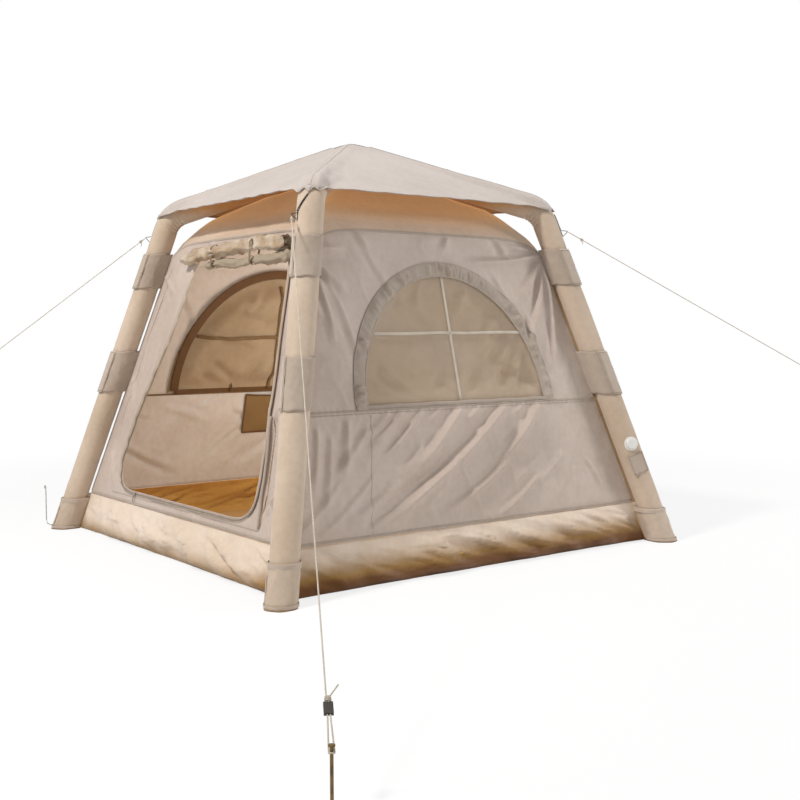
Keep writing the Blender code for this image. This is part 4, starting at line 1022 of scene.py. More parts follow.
def fly_trims(looks, piece, points):
    rim = outline(points)
    out = units(rim * (1, 1, 0))
    look = looks["fly"][0]
    hem = ribbon("fly_hem", rim - out * 0.006 + (0, 0, 0.0005), UP, 0.015, 0.0028, look, closed=True)
    both = np.arange(len(points))
    made = []
    for line in (points[both, both], points[both, both[::-1]]):
        made.append(ribbon("seam", line[2:-2] + (0, 0, 0.0002), UP, 0.014, 0.0014, look))
    seams = join("fly_seams", made)


# Beams and what is fixed to them
def build_sleeves(looks):
    turns = np.linspace(0, math.tau, 48, endpoint=False)
    axis = np.insert(AXIS, 1, 0, 1)
    ways = np.stack((WAYS[:, 1], WAYS[:, 0] * 0, -WAYS[:, 0]), 1)
    bend = np.arctan2(-WAYS[:, 0], WAYS[:, 1])
    share = (bend - bend.min()) / (bend.max() - bend.min())
    inner = np.clip(-np.cos(turns), 0, 1)[None, :]
    for k, corner in enumerate(CORNERS):
        turn = corner_turn(corner).T
        rings = []
        for centre, way in zip(axis, ways):
            radius = np.full(len(turns), BEAM)
            if centre[2] < 1.45:
                # Drawn in at the edges of the cuffs and the boot
                for edge in (*CUFFS["middle"], *CUFFS["upper"], 0, BOOT_TOP):
                    gap = abs(centre[2] - edge)
                    radius -= 0.0012 * math.exp(-(gap / 0.018) ** 2)
                    ripple = 0.0007 * math.exp(-((gap - 0.03) / 0.03) ** 2)
                    radius += ripple * np.sin(turns * 7 + edge * 9 + k)
            around = np.cos(turns)[:, None] * way + np.sin(turns)[:, None] * SIDEWAYS
            rings.append(centre + around * radius[:, None])
        points = np.array(rings)
        unit = units(points - points.mean(1)[:, None, :])
        # Creases across the inner side of the elbow
        for middle in (0.12, 0.3, 0.5, 0.7, 0.88):
            dent = np.exp(-((share - middle) / 0.05) ** 2)[:, None] * inner**1.5
            points -= unit * (0.006 * dent)[..., None]
        flat = points.reshape(-1, 3)
        relief = 0.0009 * fractal(flat, 7.0, 2, 11.0 + k)
        relief += 0.0005 * ridges(flat * (1, 1, 0.5), 16.0, 12.0 + k)
        relief = np.minimum(relief, 0.0009).reshape(points.shape[:2]) - 0.0006
        points = points + unit * relief[..., None]
        points = points[(points[..., 2].min(1) > 0.004) & (points.mean(1)[:, 0] > 0.088)]
        made = grid_object(f"sleeve_{corner}", points @ turn, looks["beam"], wrap_columns=True, flip=True)
        thicken(made)
        stand_in(f"beam_sleeve_{corner}")
        # Welt seam on the side that faces the tent
        line = axis - ways * (BEAM - 0.0005)
        keep = (line[:, 2] > 0.17) & (line[:, 0] > 0.1)
        welt = ribbon(f"sleeve_seam_{corner}", line[keep] @ turn, -ways[keep] @ turn, 0.011, 0.0012,
                      looks["beam"])


def wrapped(turns, heights, radius=0.1):
    """Places on a plain cylinder, for noise that runs on round a piece."""
    flat = (np.cos(turns) * radius, np.sin(turns) * radius, heights)
    return np.stack([values.ravel() for values in np.broadcast_arrays(*flat)], 1)


def cuff_radius(turns, radius, tip):
    """Round, drawn out on the tent's side to the corner of the walls."""
    gap = math.acos(min(1.0, radius / tip))
    off = np.abs((turns + math.pi) % math.tau - math.pi)
    past = np.clip(off - (math.pi - gap), 0, gap)
    return radius / np.cos(past)


FLAP_TURNS = {"front_right": (-100, -40), "back_right": (-70, -10),
              "back_left": (10, 70), "front_left": (10, 70)}


def build_cuffs(looks):
    for k, corner in enumerate(CORNERS):
        for part, (low, high) in CUFFS.items():
            heights = np.linspace(low, high, 22)
            share = (heights - low) / (high - low)
            turn, z = np.meshgrid(ROUND, heights)
            radius = cuff_radius(turn, CUFF - 0.0012, TAB + 0.0024)
            rim = np.exp(-(share / 0.05) ** 2) + np.exp(-((1 - share) / 0.05) ** 2)
            radius = radius + 0.0016 * rim[:, None]
            spot = wrapped(turn, z)
            crumple = 0.0026 * ridges(spot * (1, 1, 1.4), 9.0, 21.0 + k)
            crumple += 0.0014 * fractal(spot, 14.0, 2, 22.0 + k)
            slack = 0.35 + 0.65 * np.sin(math.pi * share)[:, None]
            radius = radius + crumple.reshape(radius.shape) * slack
            ragged = 0.0022 * np.sin(turn * 5 + k) * (np.abs(share - 0.5) * 2)[:, None] ** 3
            points = leg_at(corner, turn, z + ragged, radius)
            made = grid_object(f"{part}_band_{corner}", points, looks["cuff"], wrap_columns=True)
            thicken(made, 0.0016)
            stand_in(f"{part}_cuff_{corner}")
            cuff_flap(f"{part}_flap_{corner}", f"{part}_stitching_{corner}", corner, k, low, high, looks)


def cuff_flap(name, thread_name, corner, k, low, high, looks):
    """The flap that closes a cuff, and its stitched border."""
    a0, a1 = (math.radians(a) for a in FLAP_TURNS[corner])
    turn, z = np.meshgrid(np.linspace(a0, a1, 24), np.linspace(low - 0.002, high + 0.002, 16))
    across = (turn - a0) / (a1 - a0)
    lift = CUFF + 0.0012 + 0.0012 * np.sin(math.pi * across) ** 0.5 + 0.0008 * np.sin(z * 70 + k) * across
    flap = grid_object(name, leg_at(corner, turn, z, lift), looks["flap"])
    thicken(flap, 0.0016, offset=1.0)
    a0, a1, low, high = a0 + 0.07, a1 - 0.07, low + 0.006, high - 0.006
    stitches = []
    for line in ((a0, a0, low, high), (a1, a1, low, high), (a0, a1, low, low), (a0, a1, high, high)):
        path = leg_at(corner, np.linspace(*line[:2], 30), np.linspace(*line[2:], 30), CUFF + 0.0042)
        stitches.append(tube("stitch", path, 0.0006, looks["thread"], count=5))
    join(thread_name, stitches)


def build_boots(looks):
    heights = np.concatenate((np.linspace(0.0, 0.15, 26), [0.153, 0.156, 0.160, 0.163]))
    for k, corner in enumerate(CORNERS):
        rows = []
        for z in heights:
            radius = cuff_radius(ROUND, CUFF - 0.0005, TAB + 0.002)
            radius = radius + 0.0035 * math.exp(-(z / 0.016) ** 2) * (1 + 0.5 * np.sin(ROUND * 6 + k))
            radius = radius + 0.0016 * math.exp(-((z - 0.156) / 0.007) ** 2)
            spot = wrapped(ROUND, z)
            radius = radius + 0.0022 * ridges(spot * (1, 1, 0.7), 11.0, 31.0 + k) * step(0.0, 0.03, z)
            radius = radius + 0.0012 * fractal(spot, 15.0, 2, 32.0 + k)
            rows.append(leg_at(corner, ROUND, z, radius))
        faces = grid_faces(len(heights), len(ROUND), False, True) + [tuple(range(len(ROUND)))[::-1]]
        made = mesh_object(f"foot_cap_{corner}", np.concatenate(rows), faces, looks["boot"])
        thicken(made, 0.0016)
        stand_in(f"boot_{corner}")
        bands = []
        path = leg_at(corner, ROUND, 0.150, cuff_radius(ROUND, CUFF + 0.001, TAB + 0.003))
        out = units(path - leg_at(corner, ROUND, 0.150, 0.0))
        bands.append(ribbon("band", path, out, 0.020, 0.0014, looks["flap"], closed=True))
        path = leg_at(corner, ROUND, 0.012, cuff_radius(ROUND, CUFF + 0.0034, TAB + 0.003))
        bands.append(ribbon("band", path, out, 0.012, 0.0012, looks["flap"], closed=True))
        a = math.radians(-62 if corner == "front_right" else 40)
        z = np.linspace(0.018, 0.118, 24)
        path = leg_at(corner, a + 0.05 * np.sin(z * 20), z, CUFF + 0.0012)
        way = units(path[0] - leg_at(corner, a, z[0], 0.0))
        bands.append(ribbon("band", path, way, 0.009, 0.0022, looks["flap"]))
        join(f"foot_trim_{corner}", bands)


def valve_cover(looks):
    """The cloth flap below the valve, stitched along its edges."""
    hinge = np.array((1.01917, 0.94075, 0.42931))
    way_x = np.array((0.41131, 0.84832, 0.33343))
    way_y = np.array((-0.2479, -0.2479, 0.93653))
    out = np.array((0.87714, -0.46786, 0.10834))
    u, v = np.meshgrid(np.linspace(-0.0398, 0.0398, 26), np.linspace(-0.1046, -0.0004, 30))
    rounding = 0.012 * (np.abs(u) / 0.04) ** 8 * np.exp(-((v + 0.105) / 0.012) ** 2)
    spot = np.stack((u.ravel(), v.ravel(), np.zeros(u.size)), 1)
    lump = 0.0004 + 0.0005 * fractal(spot, 26.0, 2, 51.0).reshape(u.shape)
    rows = hinge + u[..., None] * way_x + (v + rounding)[..., None] * way_y + lump[..., None] * out
    flap = grid_object("valve_cover", rows, looks["flap"], "valve_flap")
    thicken(flap, 0.0014, offset=0.0)
    stand_in("valve_flap")
    edges = [tube("stitch", line + out * 0.0013, 0.0006, looks["thread"], "valve_flap", 5)
             for line in (rows[2], rows[-3], rows[:, 2], rows[:, -3])]
    stitches = join("valve_cover_stitching", edges)


def air_tubes(looks):
    """The air tubes in the sleeves and the flat hub where their arms meet."""
    line = np.insert(AXIS, 1, 0, 1)
    line = line[line[:, 2] > 0.034]
    tubes = []
    for corner in CORNERS:
        spot = line @ corner_turn(corner).T
        radius = 0.0548 - 0.0004 * np.abs(fractal(spot, 22.0, 2, 61.0))
        radius[0] = 0.030
        tubes.append(tube("air_tube", spot, radius, looks["film"], count=40))
    turns = np.linspace(0, math.tau, 60, endpoint=False)
    rings = [np.stack((r * np.cos(turns), r * np.sin(turns), np.full(60, z)), 1)
             for r, z in ((0.02, 1.816), (0.07, 1.8155), (0.082, 1.822), (0.0845, 1.84), (0.0845, 1.88),
                          (0.08, 1.893), (0.066, 1.8995), (0.02, 1.8998))]
    tubes.append(skin("air_pillow", rings, looks["film"]))
    air = join("air_tubes", tubes)
    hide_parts("air_bladder")


def corner_webs(looks):
    """Strips of cloth that join each beam to its corner of the groundsheet, and at the back right a dark
    strip up to the corner of the walls: painted shade in the gap there.
    """
    boot_end, middle_start, middle_end, upper_start = 0.158, 0.716, 0.919, 1.241
    for corner in CORNERS:
        spans = [("low", 0.006, 0.186, looks["boot"], 0.007, 0.0)]
        # At the back right a tall dark brown strip fills the gap between beam and wall: painted shade.
        if corner == "back_right":
            spans.append(("high", 0.10, 1.384, looks["web"], 0.003, 0.002))
        for kind, low, high, look, back, aside in spans:
            edges = (boot_end, middle_start, middle_end, upper_start)
            edges = np.array([z for z in edges if low < z < high])
            even = np.linspace(low, high, int((high - low) / 0.02) + 8)
            z = np.sort(np.concatenate((even, edges, edges + 0.0004)))
            in_cuff = (z <= boot_end) | ((z > middle_start) & (z <= middle_end)) | (z > upper_start)
            outer = leg_at(corner, math.pi, z, np.where(in_cuff, TAB, BEAM - 0.0004))
            inner = np.stack((wall_reach(z) * DIAGONAL - back, 0.0012 * np.sin(z * 55) + aside, z), 1)
            inner = inner @ corner_turn(corner).T
            rows = [inner + (outer - inner) * t for t in np.linspace(0, 1, 7)]
            web = grid_object(f"corner_web_{kind}_{corner}", rows, look)
            thicken(web, offset=0.0)


# Groundsheet
def build_tub(looks):
    shares = side_shares(110)[:-1]
    rings = []
    for z in np.linspace(TUB_HIGH, 0.004, 30):
        base, level = wall_reach(z), z / TUB_HIGH
        tuck = 0.020 * (1 - step(0.0, 0.2, level)) * (1 - shares**6)
        puff = 0.010 * math.sin(math.pi * min(1, level * 1.05)) * (1 - shares**8)
        fullness = math.sin(math.pi * min(1, max(0, level))) ** 0.7 * (1 - shares**10)
        ring = []
        for name, degrees in WALLS.items():
            spot = np.stack(np.broadcast_arrays(shares, z * 2.2, degrees * 0.37), 1)
            lean = spot + spot[:, 1:2] * (0.9, 0, 0)
            wrinkle = 0.034 * ridges(lean * (1, 0.5, 1), 3.6, 41.0)
            wrinkle += 0.012 * ridges(lean * (1, 0.7, 1), 7.0, 42.0) + 0.006 * fractal(spot, 4.0, 2, 43.0)
            out = base + puff + wrinkle * fullness - tuck - 0.004 * math.sin(math.pi * level)
            ring.append(np.stack(np.broadcast_arrays(out, shares * base, z), 1) @ SIDES[name].turn.T)
        rings.append(np.concatenate(ring))
    edge = rings[-1]
    for share in (0.985, 0.95, 0.9, 0.82, 0.74, 0.66, 0.58, 0.5, 0.42, 0.34, 0.26, 0.18, 0.1, 0.04,
                  0.004):
        flat = edge * (share, share, 1)
        flat[:, 2] = 0.0025 + 0.004 * ridges(flat, 3.2, 44.0) * step(0, 0.06, 1 - share)
        rings.append(flat)
    made = grid_object("groundsheet", rings, looks["tub"], wrap_columns=True, flip=True)
    thicken(made, two_looks=True)
    stand_in("bathtub_floor")


# Door: zip, gutter, rolls and ties
def door_parts(looks):
    wall = SIDES["front"]
    loop = [p for p in door_loop(0.012) if p[1] < 1.37]
    right = [p for p in loop if p[0] >= 0]
    left = [p for p in loop if p[0] < 0]
    points = on_wall("front", resample([*left, *right], 0.008), 0.0006)
    tape = ribbon("zip_tape", points, wall.out, 0.019, 0.0014, looks["zip"], flat=True)
    stand_in("door_zip_track")
    teeth = tube("zip_coil", points + wall.out * 0.0022, 0.0019, looks["teeth"])
    # Rain gutter: a fold of cloth that stands over the zip, widest at the top left
    for name, side, line, widen, ruffle in (("left", -1, left[::-1], 0.022, 0.004),
                                            ("right", 1, right, 0.004, 0.001)):
        edge = resample([p for p in line if 0.27 < p[1] < 1.36], 0.012)
        u, z = edge.T
        wide = 0.012 + widen * ((z - 0.27) / 1.09)
        relief = wall_relief("front", u, z)
        rows = []
        for s in np.linspace(0, 1, 7):
            shift = side * (0.012 - s * wide * 1.2)
            lift = 0.002 + 0.010 * math.sin(math.pi * (0.15 + 0.85 * s)) + 0.003 * s
            wave = ruffle * s * (np.sin(z * 61) + 0.6 * np.sin(z * 113 + 1))
            rows.append(wall.at(u + shift + wave, z, relief + lift))
        gutter = grid_object(f"zip_gutter_{name}", rows, looks["gutter"])
        thicken(gutter, offset=0.0)
        lip = ribbon(f"gutter_lip_{name}", rows[-1], wall.out, 0.0045, 0.0016, looks["trim"])


def spiral_roll(name, radius, winds, left, right, tilt, height, look, seed, bulge):
    """Cloth wound on itself, loose at its ends and drawn in by its ties."""
    shares = np.linspace(0, 1, winds * 22 + 1)
    turns = math.tau * winds * shares + seed
    radii = 0.0035 + (radius - 0.0035) * shares
    first, last = TIES.values()
    rings = []
    for u in np.linspace(left, right, 64):
        t = (u - left) / (right - left)
        squeeze = 1.0
        for tie in (first, last):
            squeeze -= 0.30 * math.exp(-((u - tie) / 0.020) ** 2)
        squeeze += bulge * step(0.8, 0.98, t)
        squeeze *= 1 - 0.12 * (1 - step(0, 0.06, t)) - 0.05 * (1 - step(0, 0.04, 1 - t))
        sway = 0.004 * math.sin(u * 9 + seed) + 0.003 * math.sin(u * 23 + seed)
        if first < u < last:
            sag = -0.006 * math.sin(math.pi * (u - first) / (last - first))
        else:
            sag = -0.004 * min(abs(u - first), abs(u - last)) / 0.2
        spot = wrapped(turns, u, 0.12)
        lump = 0.30 * fractal(spot * (1, 1, 0.7), 8.0, 3, seed)
        lump += 0.85 * (ridges(spot * (1, 1, 0.5), 8.0, seed + 1) - 0.4)
        spiral = radii * squeeze * (1 + lump * shares**2 * 0.8)
        jag = 0.010 * (np.sin(shares * 9 + seed) * (t > 0.98) - np.sin(shares * 7 + seed) * (t < 0.02))
        z = height + tilt * (t - 0.5) + sway + sag + spiral * np.sin(turns)
        rings.append(SIDES["front"].at(u + jag, z, radius + 0.004 + spiral * np.cos(turns) * 0.94))
    made = grid_object(name, np.array(rings), look)
    thicken(made, 0.0006, offset=0.0)
    return made


def door_rolls(looks):
    upper = spiral_roll("rolled_door", 0.030, 11, -0.422, 0.507, 0.026, UPPER_ROLL,
                        looks["roll"], 0.6, 0.1)
    stand_in("door_roll")
    lower = spiral_roll("rolled_mesh_door", 0.0185, 16, -0.182, 0.560, 0.006, LOWER_ROLL,
                        looks["net_roll"], 2.2, 0.3)
    stand_in("mesh_door_roll")
    wall = SIDES["front"]
    for side, u in TIES.items():
        lift = 0.028 * (u - 0.0425)
        path, normals = [], []
        for a in np.linspace(0, math.tau, 60, endpoint=False):
            r, z, n = 0.0205, LOWER_ROLL, 0.024
            if math.sin(a) > 0:
                r, z, n = 0.0265, UPPER_ROLL + lift, 0.034
            path.append(wall.at(u + 0.002 * math.sin(a * 2), z + r * math.sin(a), n + r * math.cos(a)))
            normals.append(wall.at(u, 1.4 + math.sin(a), math.cos(a)) - wall.at(u, 1.4, 0.0))
        tie = ribbon(f"tie_strap_{side}", path, units(np.array(normals)), 0.016, 0.0014, looks["tie"],
                     flat=True, closed=True)
        stand_in(f"door_tie_{side}")
        ends = [wall.at(u - 0.020, 1.366 + lift, 0.052), wall.at(u + 0.020, 1.369 + lift, 0.052)]
        toggle = tube(f"tie_toggle_{side}", ends, 0.0045, looks["trim"], count=12)


# Pocket and loop
def pocket_parts(looks):
    wall = SIDES["left"]
    across, up = np.meshgrid(np.linspace(0, 1, 30), np.linspace(0, 1, 22))
    u, z = -0.165 + 0.29 * across, 0.458 + 0.213 * up
    full = np.sin(math.pi * across)
    slack = 0.016 * full * np.sin(math.pi / 2 * up) + 0.002 * np.sin(across * 17) * up * full
    points = wall.at(u, z - 0.004 * full * up, -0.0026 - slack)
    pocket = grid_object("pocket_net", points, looks["pocket"], flip=True)
    thicken(pocket, 0.0006, offset=0.0)
    stand_in("mesh_pocket")
    rim = np.concatenate((points[0], points[1:, -1], points[-1, -2::-1], points[-2:0:-1, 0]))
    border = ribbon("pocket_border", rim, -wall.out, 0.010, 0.0016, looks["band"], closed=True)


def webbing_loop(looks):
    """The loop on the left wall's inside, bowed inward as it hangs."""
    seam = np.array((-0.82122, -0.234, 0.74331))
    turns = np.linspace(0, math.tau, 40, endpoint=False)
    bow = 0.0006 * np.sin(turns * 2) + 0.0011 * (1 - np.cos(turns))
    path = np.stack((bow, 0.0052 * np.sin(turns), -0.025 + 0.0232 * np.cos(turns)), 1)
    loop = ribbon("loop_webbing", seam + path, (1.0, 0, 0), 0.005, 0.0016, looks["band"],
                  body="hanging_loop", lift=-0.0008, closed=True)
    stand_in("hanging_loop")


# Cords
def cord_curve(name, points, look):
    data = bpy.data.curves.new(name, "CURVE")
    data.dimensions = "3D"
    data.bevel_depth = CORD / 2
    data.bevel_resolution = 3
    data.use_fill_caps = True
    spline = data.splines.new("POLY")
    spline.points.add(len(points) - 1)
    for spot, point in zip(spline.points, points):
        spot.co = (*point, 1.0)
    return link_object(name, data, look)


def ring_out(corner, a=0.0):
    return (leg_at(corner, a, RING_HEIGHT, 0.2) - leg_at(corner, a, RING_HEIGHT, 0.1)) / 0.1


def eye_route(start, along, side):
    shares = ((0.35, 0.0), (0.55, 0.6), (0.78, 1.0), (1.0, 0.2), (0.95, -0.7), (0.7, -1.0), (0.4, -0.8))
    return [start + along * (0.05 * a) + side * (0.011 * b) for a, b in shares] + [
        start + along * 0.005 - side * 0.006
    ]


def knot(name, centre, along, look, size=0.0042, tail=(), body="tent"):
    """Three tight wraps of cord round the line, with a loose tail."""
    side = along.cross(UP).normalized()
    up = side.cross(along)
    path = []
    for i in range(61):
        t = i / 60
        a = math.tau * 3 * t
        out = size + 0.0012 * math.sin(math.pi * t)
        path.append(centre + along * ((t - 0.5) * 0.016) + (side * math.cos(a) + up * math.sin(a)) * out)
    if tail:
        path += through([path[-1], *[centre + Vector(p) for p in tail]], 4)[1:]
    made = tube(name, path, STRAND, look, body)
    return made


def guylines(looks):
    look = looks["cord"]
    for name, start, end, length, back in (
        ("guyline_front_left", (-0.75197, -0.75197, 1.49515), (-1.377, -1.377, 0.873), 1.1917, 0.03),
        ("guyline_back_right", (0.75211, 0.75211, 1.49545), (1.573, 1.573, 0.815), 1.4564, 0.076),
    ):
        start, end = Vector(start), Vector(end)
        along = (end - start).normalized()
        side = along.cross(UP).normalized()
        run = [start.lerp(end, i / 14) for i in range(15)]
        eye = through([end, *eye_route(end, along, side)], 3)
        line = cord_curve(f"rope_{name}", [*run, *eye[1:]], look)
        stand_in(name)
        at = start + along * back
        tail = [side * 0.010 - UP * 0.006, side * 0.016 - UP * 0.020 + along * 0.006]
        first = knot(f"knot_{name}", at, along, look, tail=tail)
        strand = [start + side * 0.0005 + along * 0.001,
                  start + along * (back * 0.5) + side * 0.0045, at + side * 0.0042]
        loop = tube(f"loop_{name}", through(strand, 8), STRAND, look)
        last = knot(f"end_knot_{name}", end + along * 0.006, along, look)
    near_guyline(look)


def near_guyline(look):
    """The line from the near ring through its slide and round the peg, and back to the slide."""
    along = Vector((0.74582, -0.431682, -0.507349))
    slide = Vector((2.59352, -1.877945, 0.197921))
    neck = slide + along * 0.116
    turn = math.radians(-45)
    tip = leg_at("front_right", turn, RING_HEIGHT, BEAM) + ring_out("front_right", turn) * 0.0303
    start = Vector(tip) + along * 0.0043
    side = along.cross(UP).normalized()
    flat = Vector((along.x, along.y, 0)).normalized()
    out = 0.004 + 0.0003 + 0.002
    strand = side * 0.0032
    runner = neck - along * 0.1
    before = neck - along * 0.04
    end = runner - along * 0.032 + strand
    bend = slide - along * 0.75 + strand
    run = [start.lerp(bend, i / 16) for i in range(16)] + [bend.lerp(end, i / 7) for i in range(7)]
    peg = [neck + way.normalized() * out for way in (side, side + flat, flat, flat - side, -side)]
    back = [run[-1], end, runner + strand, before + side * (out * 0.8), *peg, before - side * (out * 0.8),
            runner - strand, runner - along * 0.032 - strand]
    line = cord_curve("rope_guyline_front_right", [*run, *through(back, 4)[1:]], look)
    stand_in("guyline_front_right")
    tail = [(0.004, 0.006, 0.012), (0.012, 0.012, 0.026), (0.018, 0.016, 0.036)]
    first = knot("knot_guyline_front_right", runner - along * 0.040, along, look, 0.0056, tail,
                 "guy_runner")
    hook = knot("hook_knot_front_right", start + along * 0.030, along, look)


def elbow_point(corner, turn, height, lift):
    """A point just off a beam's outer face, on the leg or its elbow."""
    out = BEAM + lift
    level = leg_at("front_right", turn, height, out) @ corner_turn("front_right")
    up = np.array((LEG_UP[0], 0, LEG_UP[1]))
    start = np.array((AXIS[LEG_STEPS][0], 0, AXIS[LEG_STEPS][1]))
    past = (level - start) @ up
    if past > 0:
        centre = np.array((ELBOW_CENTRE[0], 0, ELBOW_CENTRE[1]))
        bend = math.asin(min(1.0, past / (ELBOW + out)))
        flat = level - up * past - centre
        spin = np.array(Matrix.Rotation(-bend, 3, "Y"))
        level = centre + spin @ flat
    return level @ corner_turn(corner).T


def elastics(looks):
    for corner in CORNERS:
        low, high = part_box(f"corner_elastic_{corner}")
        turn = math.radians(-45 if corner == "front_right" else 0)
        bottom, top = low.z + 0.002, high.z - 0.002
        shares = np.linspace(0, 1, 13)
        path = [elbow_point(corner, turn * (1 - t), bottom + (top - bottom) * t, 0.0024) for t in shares]
        sideways = np.cross(UP, ring_out(corner))
        strands = []
        for gap in (-0.0035, 0.0035):
            moved = np.array(path) + sideways * (gap * (1 - 0.7 * shares))[:, None]
            strands.append(tube("strand", moved, 0.0022, looks["rubber"]))
        made = join(f"elastic_{corner}", strands)
        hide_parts(f"corner_elastic_{corner}")
        hook = [path[0] + (0, 0, 0.004), path[0] - (0, 0, 0.006),
                path[0] - (0, 0, 0.014) + ring_out(corner) * 0.003]
        clip = tube(f"hook_{corner}", hook, 0.0034, looks["black"], count=10)


# Floor and light
def white_where(tree, share, lit, kind, end):
    """Plain white where the share says so, and the lit surface elsewhere."""
    white = tree.nodes.new(kind)
    white.inputs["Color"].default_value = WHITE
    white.inputs["Strength"].default_value = 1.0
    mix = tree.nodes.new("ShaderNodeMixShader")
    for socket, value in zip(mix.inputs, (share, lit.outputs[0], white.outputs[0])):
        tree.links.new(value, socket)
    tree.links.new(mix.outputs[0], tree.nodes[end].inputs["Surface"])


def stage():
    """A floor that takes shadows near the tent and turns white for the camera away from it."""
    data = bpy.data.meshes.new("stage_floor")
    corners = [(-40, -40, 0), (40, -40, 0), (40, 40, 0), (-40, 40, 0)]
    data.from_pydata(corners, [], [(0, 1, 2, 3)])
    floor = linked("stage_floor", data)
    n = Nodes("floor", 0.95)
    n.set(Base_Color=(0.9, 0.9, 0.9, 1), Specular_IOR_Level=0.0)
    away = n.add("ShaderNodeVectorMath", operation="LENGTH")
    n.link(n.place, away.inputs[0])
    shift_to = n.ramp(away.outputs["Value"], 2.4, 5.0, 0.78, 1.0)
    rays = n.add("ShaderNodeLightPath")
    share = n.math("MULTIPLY", rays.outputs["Is Camera Ray"], shift_to)
    white_where(n.tree, share, n.shader, "ShaderNodeEmission", "Material Output")
    data.materials.append(n.made)


def backdrop_world():
    """Soft light from all round, behind a background that the camera sees as white."""
    world = bpy.data.worlds.new("studio")
    bpy.context.scene.world = world
    world.use_nodes = True
    tree = world.node_tree
    back = tree.nodes["Background"]
    back.inputs["Color"].default_value = (0.97, 0.98, 1.0, 1)
    back.inputs["Strength"].default_value = 0.40
    rays = tree.nodes.new("ShaderNodeLightPath")
    share = rays.outputs["Is Camera Ray"]
    for kind in ("Is Transmission Ray", "Is Glossy Ray"):
        either = tree.nodes.new("ShaderNodeMath")
        either.operation = "MAXIMUM"
        tree.links.new(share, either.inputs[0])
        tree.links.new(rays.outputs[kind], either.inputs[1])
        share = either.outputs[0]
    white_where(tree, share, back, "ShaderNodeBackground", "World Output")


def lamp(name, place, aim, size, power, colour=(1, 1, 1)):
    data = bpy.data.lights.new(name, "AREA")
    data.shape = "SQUARE"
    data.size = size
    data.energy = power
    data.color = colour
    made = linked(name, data)
    made.location = place
    made.rotation_euler = (Vector(aim) - Vector(place)).to_track_quat("-Z", "Y").to_euler()


def inside_lamp():
    """The daylight that the cloth lets through, as one soft lamp in the cabin."""
    data = bpy.data.lights.new("cabin", "POINT")
    data.shadow_soft_size = 0.35
    data.energy = 22.0
    data.color = (0.96, 0.97, 0.97)
    linked("cabin", data).location = (0.0, 0.1, 0.85)


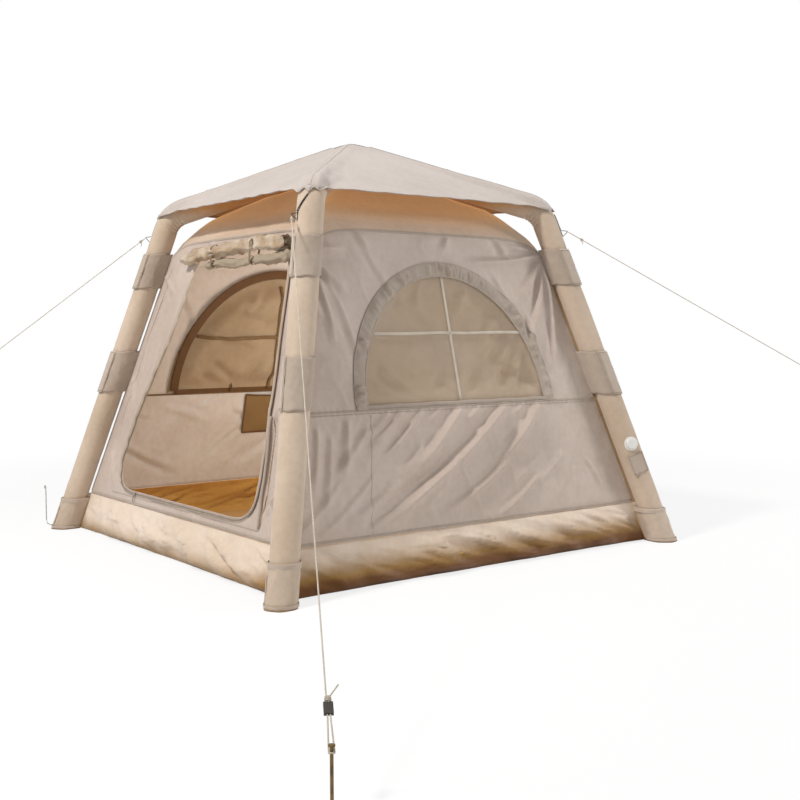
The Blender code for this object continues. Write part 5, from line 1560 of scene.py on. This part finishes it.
# Looks
def make_looks():
    """Every look by the name that the functions know it by."""
    return {
        "cord": webbing("guyline_cord", (228, 216, 198), 0.0016),
        "rubber": webbing("elastic_cord", (44, 38, 32), 0.0014),
        "black": plastic("black_plastic_look", (36, 31, 27), 0.5),
        # The inside of the walls glows a little: painted light for the daylight through the cloth.
        "wall": [cloth("wall_outside", (194, 177, 164), (184, 166, 152), rough=0.6, mottle=0.16,
                       gloss=0.6),
                 cloth("wall_inside_painted_glow", (198, 190, 182), (186, 175, 164), mottle=0.12, painted_glow=0.17)],
        # A dark brown strip look: painted shade in the gap by the back right leg and in the slit on the
        # front wall.
        "web": cloth("painted_shade_strip", (158, 130, 94), (134, 106, 70)),
        "trim": cloth("window_surround", (178, 164, 150), (166, 151, 137), crumple=0.002),
        "net": netting("window_net_look", (196, 175, 150), 0.3),
        "tape": webbing("pale_tape", (226, 214, 196), 0.005),
        # The privacy panel's two sides are lit and shaded copies of one cloth: its outside brightened and
        # glowing as painted light, its inside darker as painted shade.
        "panel": [cloth("privacy_panel", (236, 220, 200), (222, 202, 176), painted_glow=0.08),
                  cloth("privacy_panel_inside_painted_shade", (168, 148, 122), (152, 131, 102))],
        # Dark brown tape; inside the windows its dark is partly painted shade.
        "band": webbing("inside_band", (104, 66, 10)),
        # Dark lines of painted shade where tapes and seams stand against the light through the cloth.
        "shade_line": webbing("painted_shade_line", (128, 96, 52)),
        # The sleeves turn orange-brown above about 1.6 m: painted warm shade under the fly. They are also
        # darker low down.
        "beam": cloth("beam_sleeve_cloth_painted_shade", (206, 186, 165), (194, 173, 150), across="X", mottle=0.12,
                      darker_low_down=(0.10, (186, 158, 126), 0.0), shift_to=(1.59, 1.645, (206, 160, 104)),
                      crumple=0.002),
        "cuff": cloth("cuff_cloth_look", (183, 167, 151), (170, 152, 135), crumple=0.002),
        "flap": cloth("cuff_flap", (194, 179, 164), (181, 164, 148), crumple=0.002),
        "thread": webbing("thread", (150, 132, 112), 0.001),
        "boot": cloth("boot_cloth", (202, 184, 165), (188, 168, 147), crumple=0.002,
                      darker_low_down=(0.03, (150, 118, 80), 0.0)),
        # The skirt darkens to golden brown towards the ground, more on the +X side: painted shade under
        # its tucked bulge and on its shaded side. Its inside is a warm orange: painted warm light through
        # the cloth.
        "tub": [cloth("tub_outside_painted_shade", (228, 210, 192), (216, 196, 174), rough=0.55,
                      darker_low_down=(0.10, (150, 112, 54), -0.065)),
                cloth("tub_inside_painted_warm_light", (214, 170, 94), (200, 154, 80), rough=0.75)],
        # The inner roof turns warm tan and glows above about 1.5 m, and is warm tan inside: painted light
        # that falls through the fly.
        "roof": [cloth("inner_roof_outside_painted_light", (186, 166, 146), (174, 152, 130),
                       shift_to=(1.47, 1.60, (222, 182, 130)), painted_glow=0.31),
                 cloth("inner_roof_inside_painted_warm_light", (204, 168, 122), (190, 152, 106))],
        # The fly's underside is orange-brown and glows: painted light through the cloth and the shade
        # under it.
        "fly": [cloth("fly_outside", (192, 181, 173), (183, 172, 163), rough=0.7, crumple=0.002),
                cloth("fly_inside_painted_light", (184, 132, 68), (164, 110, 48), crumple=0.002, painted_glow=0.13)],
        "zip": webbing("zip_tape_look", (186, 168, 152)),
        "teeth": webbing("zip_teeth", (146, 124, 94), 0.0012, 0.5),
        "gutter": cloth("gutter_cloth", (196, 180, 164), (180, 162, 144)),
        "roll": cloth("rolled_cloth", (206, 189, 167), (150, 120, 84), mottle=0.16, blotch=7.0),
        # The ties' brown is darkened for the shade in their cinches: partly their own colour, partly
        # painted shade.
        "tie": webbing("door_tie", (140, 114, 82), 0.004),
        "net_roll": netting("rolled_net", (180, 163, 140), 1.0),
        "pocket": netting("pocket_net_look", (158, 126, 80), 0.75),
        "white": plastic("white_plastic_look", (228, 227, 222), 0.4, 0.06),
        "steel": metal("steel_look", (170, 168, 162)),
        "bronze": metal("bronzed_steel_look", (122, 100, 62), 0.45, 0.7),
        "film": plastic("air_film_look", (206, 198, 184), 0.4),
    }


def repaint(looks):
    """Looks of the frame's own pieces."""
    for look, nodes in (
        ("black", [*[f"guy_ring_{corner}" for corner in CORNERS], "guyline_runner"]),
        ("bronze", ["guy_peg"]),
        ("steel", ["foot_peg", "door_zip_slider", "door_zip_pull"]),
        ("white", ["valve_body", "valve_cap"]),
    ):
        for node in nodes:
            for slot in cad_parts[node].material_slots:
                slot.material = looks[look]


# The whole scene
def main():
    bpy.context.scene.view_settings.view_transform = "Standard"
    make_camera()
    stage()
    backdrop_world()
    lamp("key", (0.5, -5.0, 6.6), (0.2, 0, 0.9), 0.8, 430, (1.0, 0.98, 0.96))
    lamp("fill", (4.0, 5.2, 3.4), (0.9, 0, 0.8), 1.4, 150, (1.0, 0.98, 0.97))
    lamp("top", (-1.0, 1.0, 6.5), (0, 0, 0), 4.0, 50)
    inside_lamp()
    looks = make_looks()
    guylines(looks)
    elastics(looks)
    walls = build_walls(looks)
    wall_trims(looks)
    corner_pipings(looks)
    for name in ("right", "left", "back"):
        for build in (window_net, window_surround, window_flap, window_inside):
            build(name, SIDES[name], looks)
    build_sleeves(looks)
    build_inner_roof(looks)
    fly_trims(looks, *build_fly(looks))
    build_cuffs(looks)
    build_boots(looks)
    build_tub(looks)
    door_parts(looks)
    door_rolls(looks)
    pocket_parts(looks)
    repaint(looks)
    valve_cover(looks)
    webbing_loop(looks)
    air_tubes(looks)
    corner_webs(looks)


main()
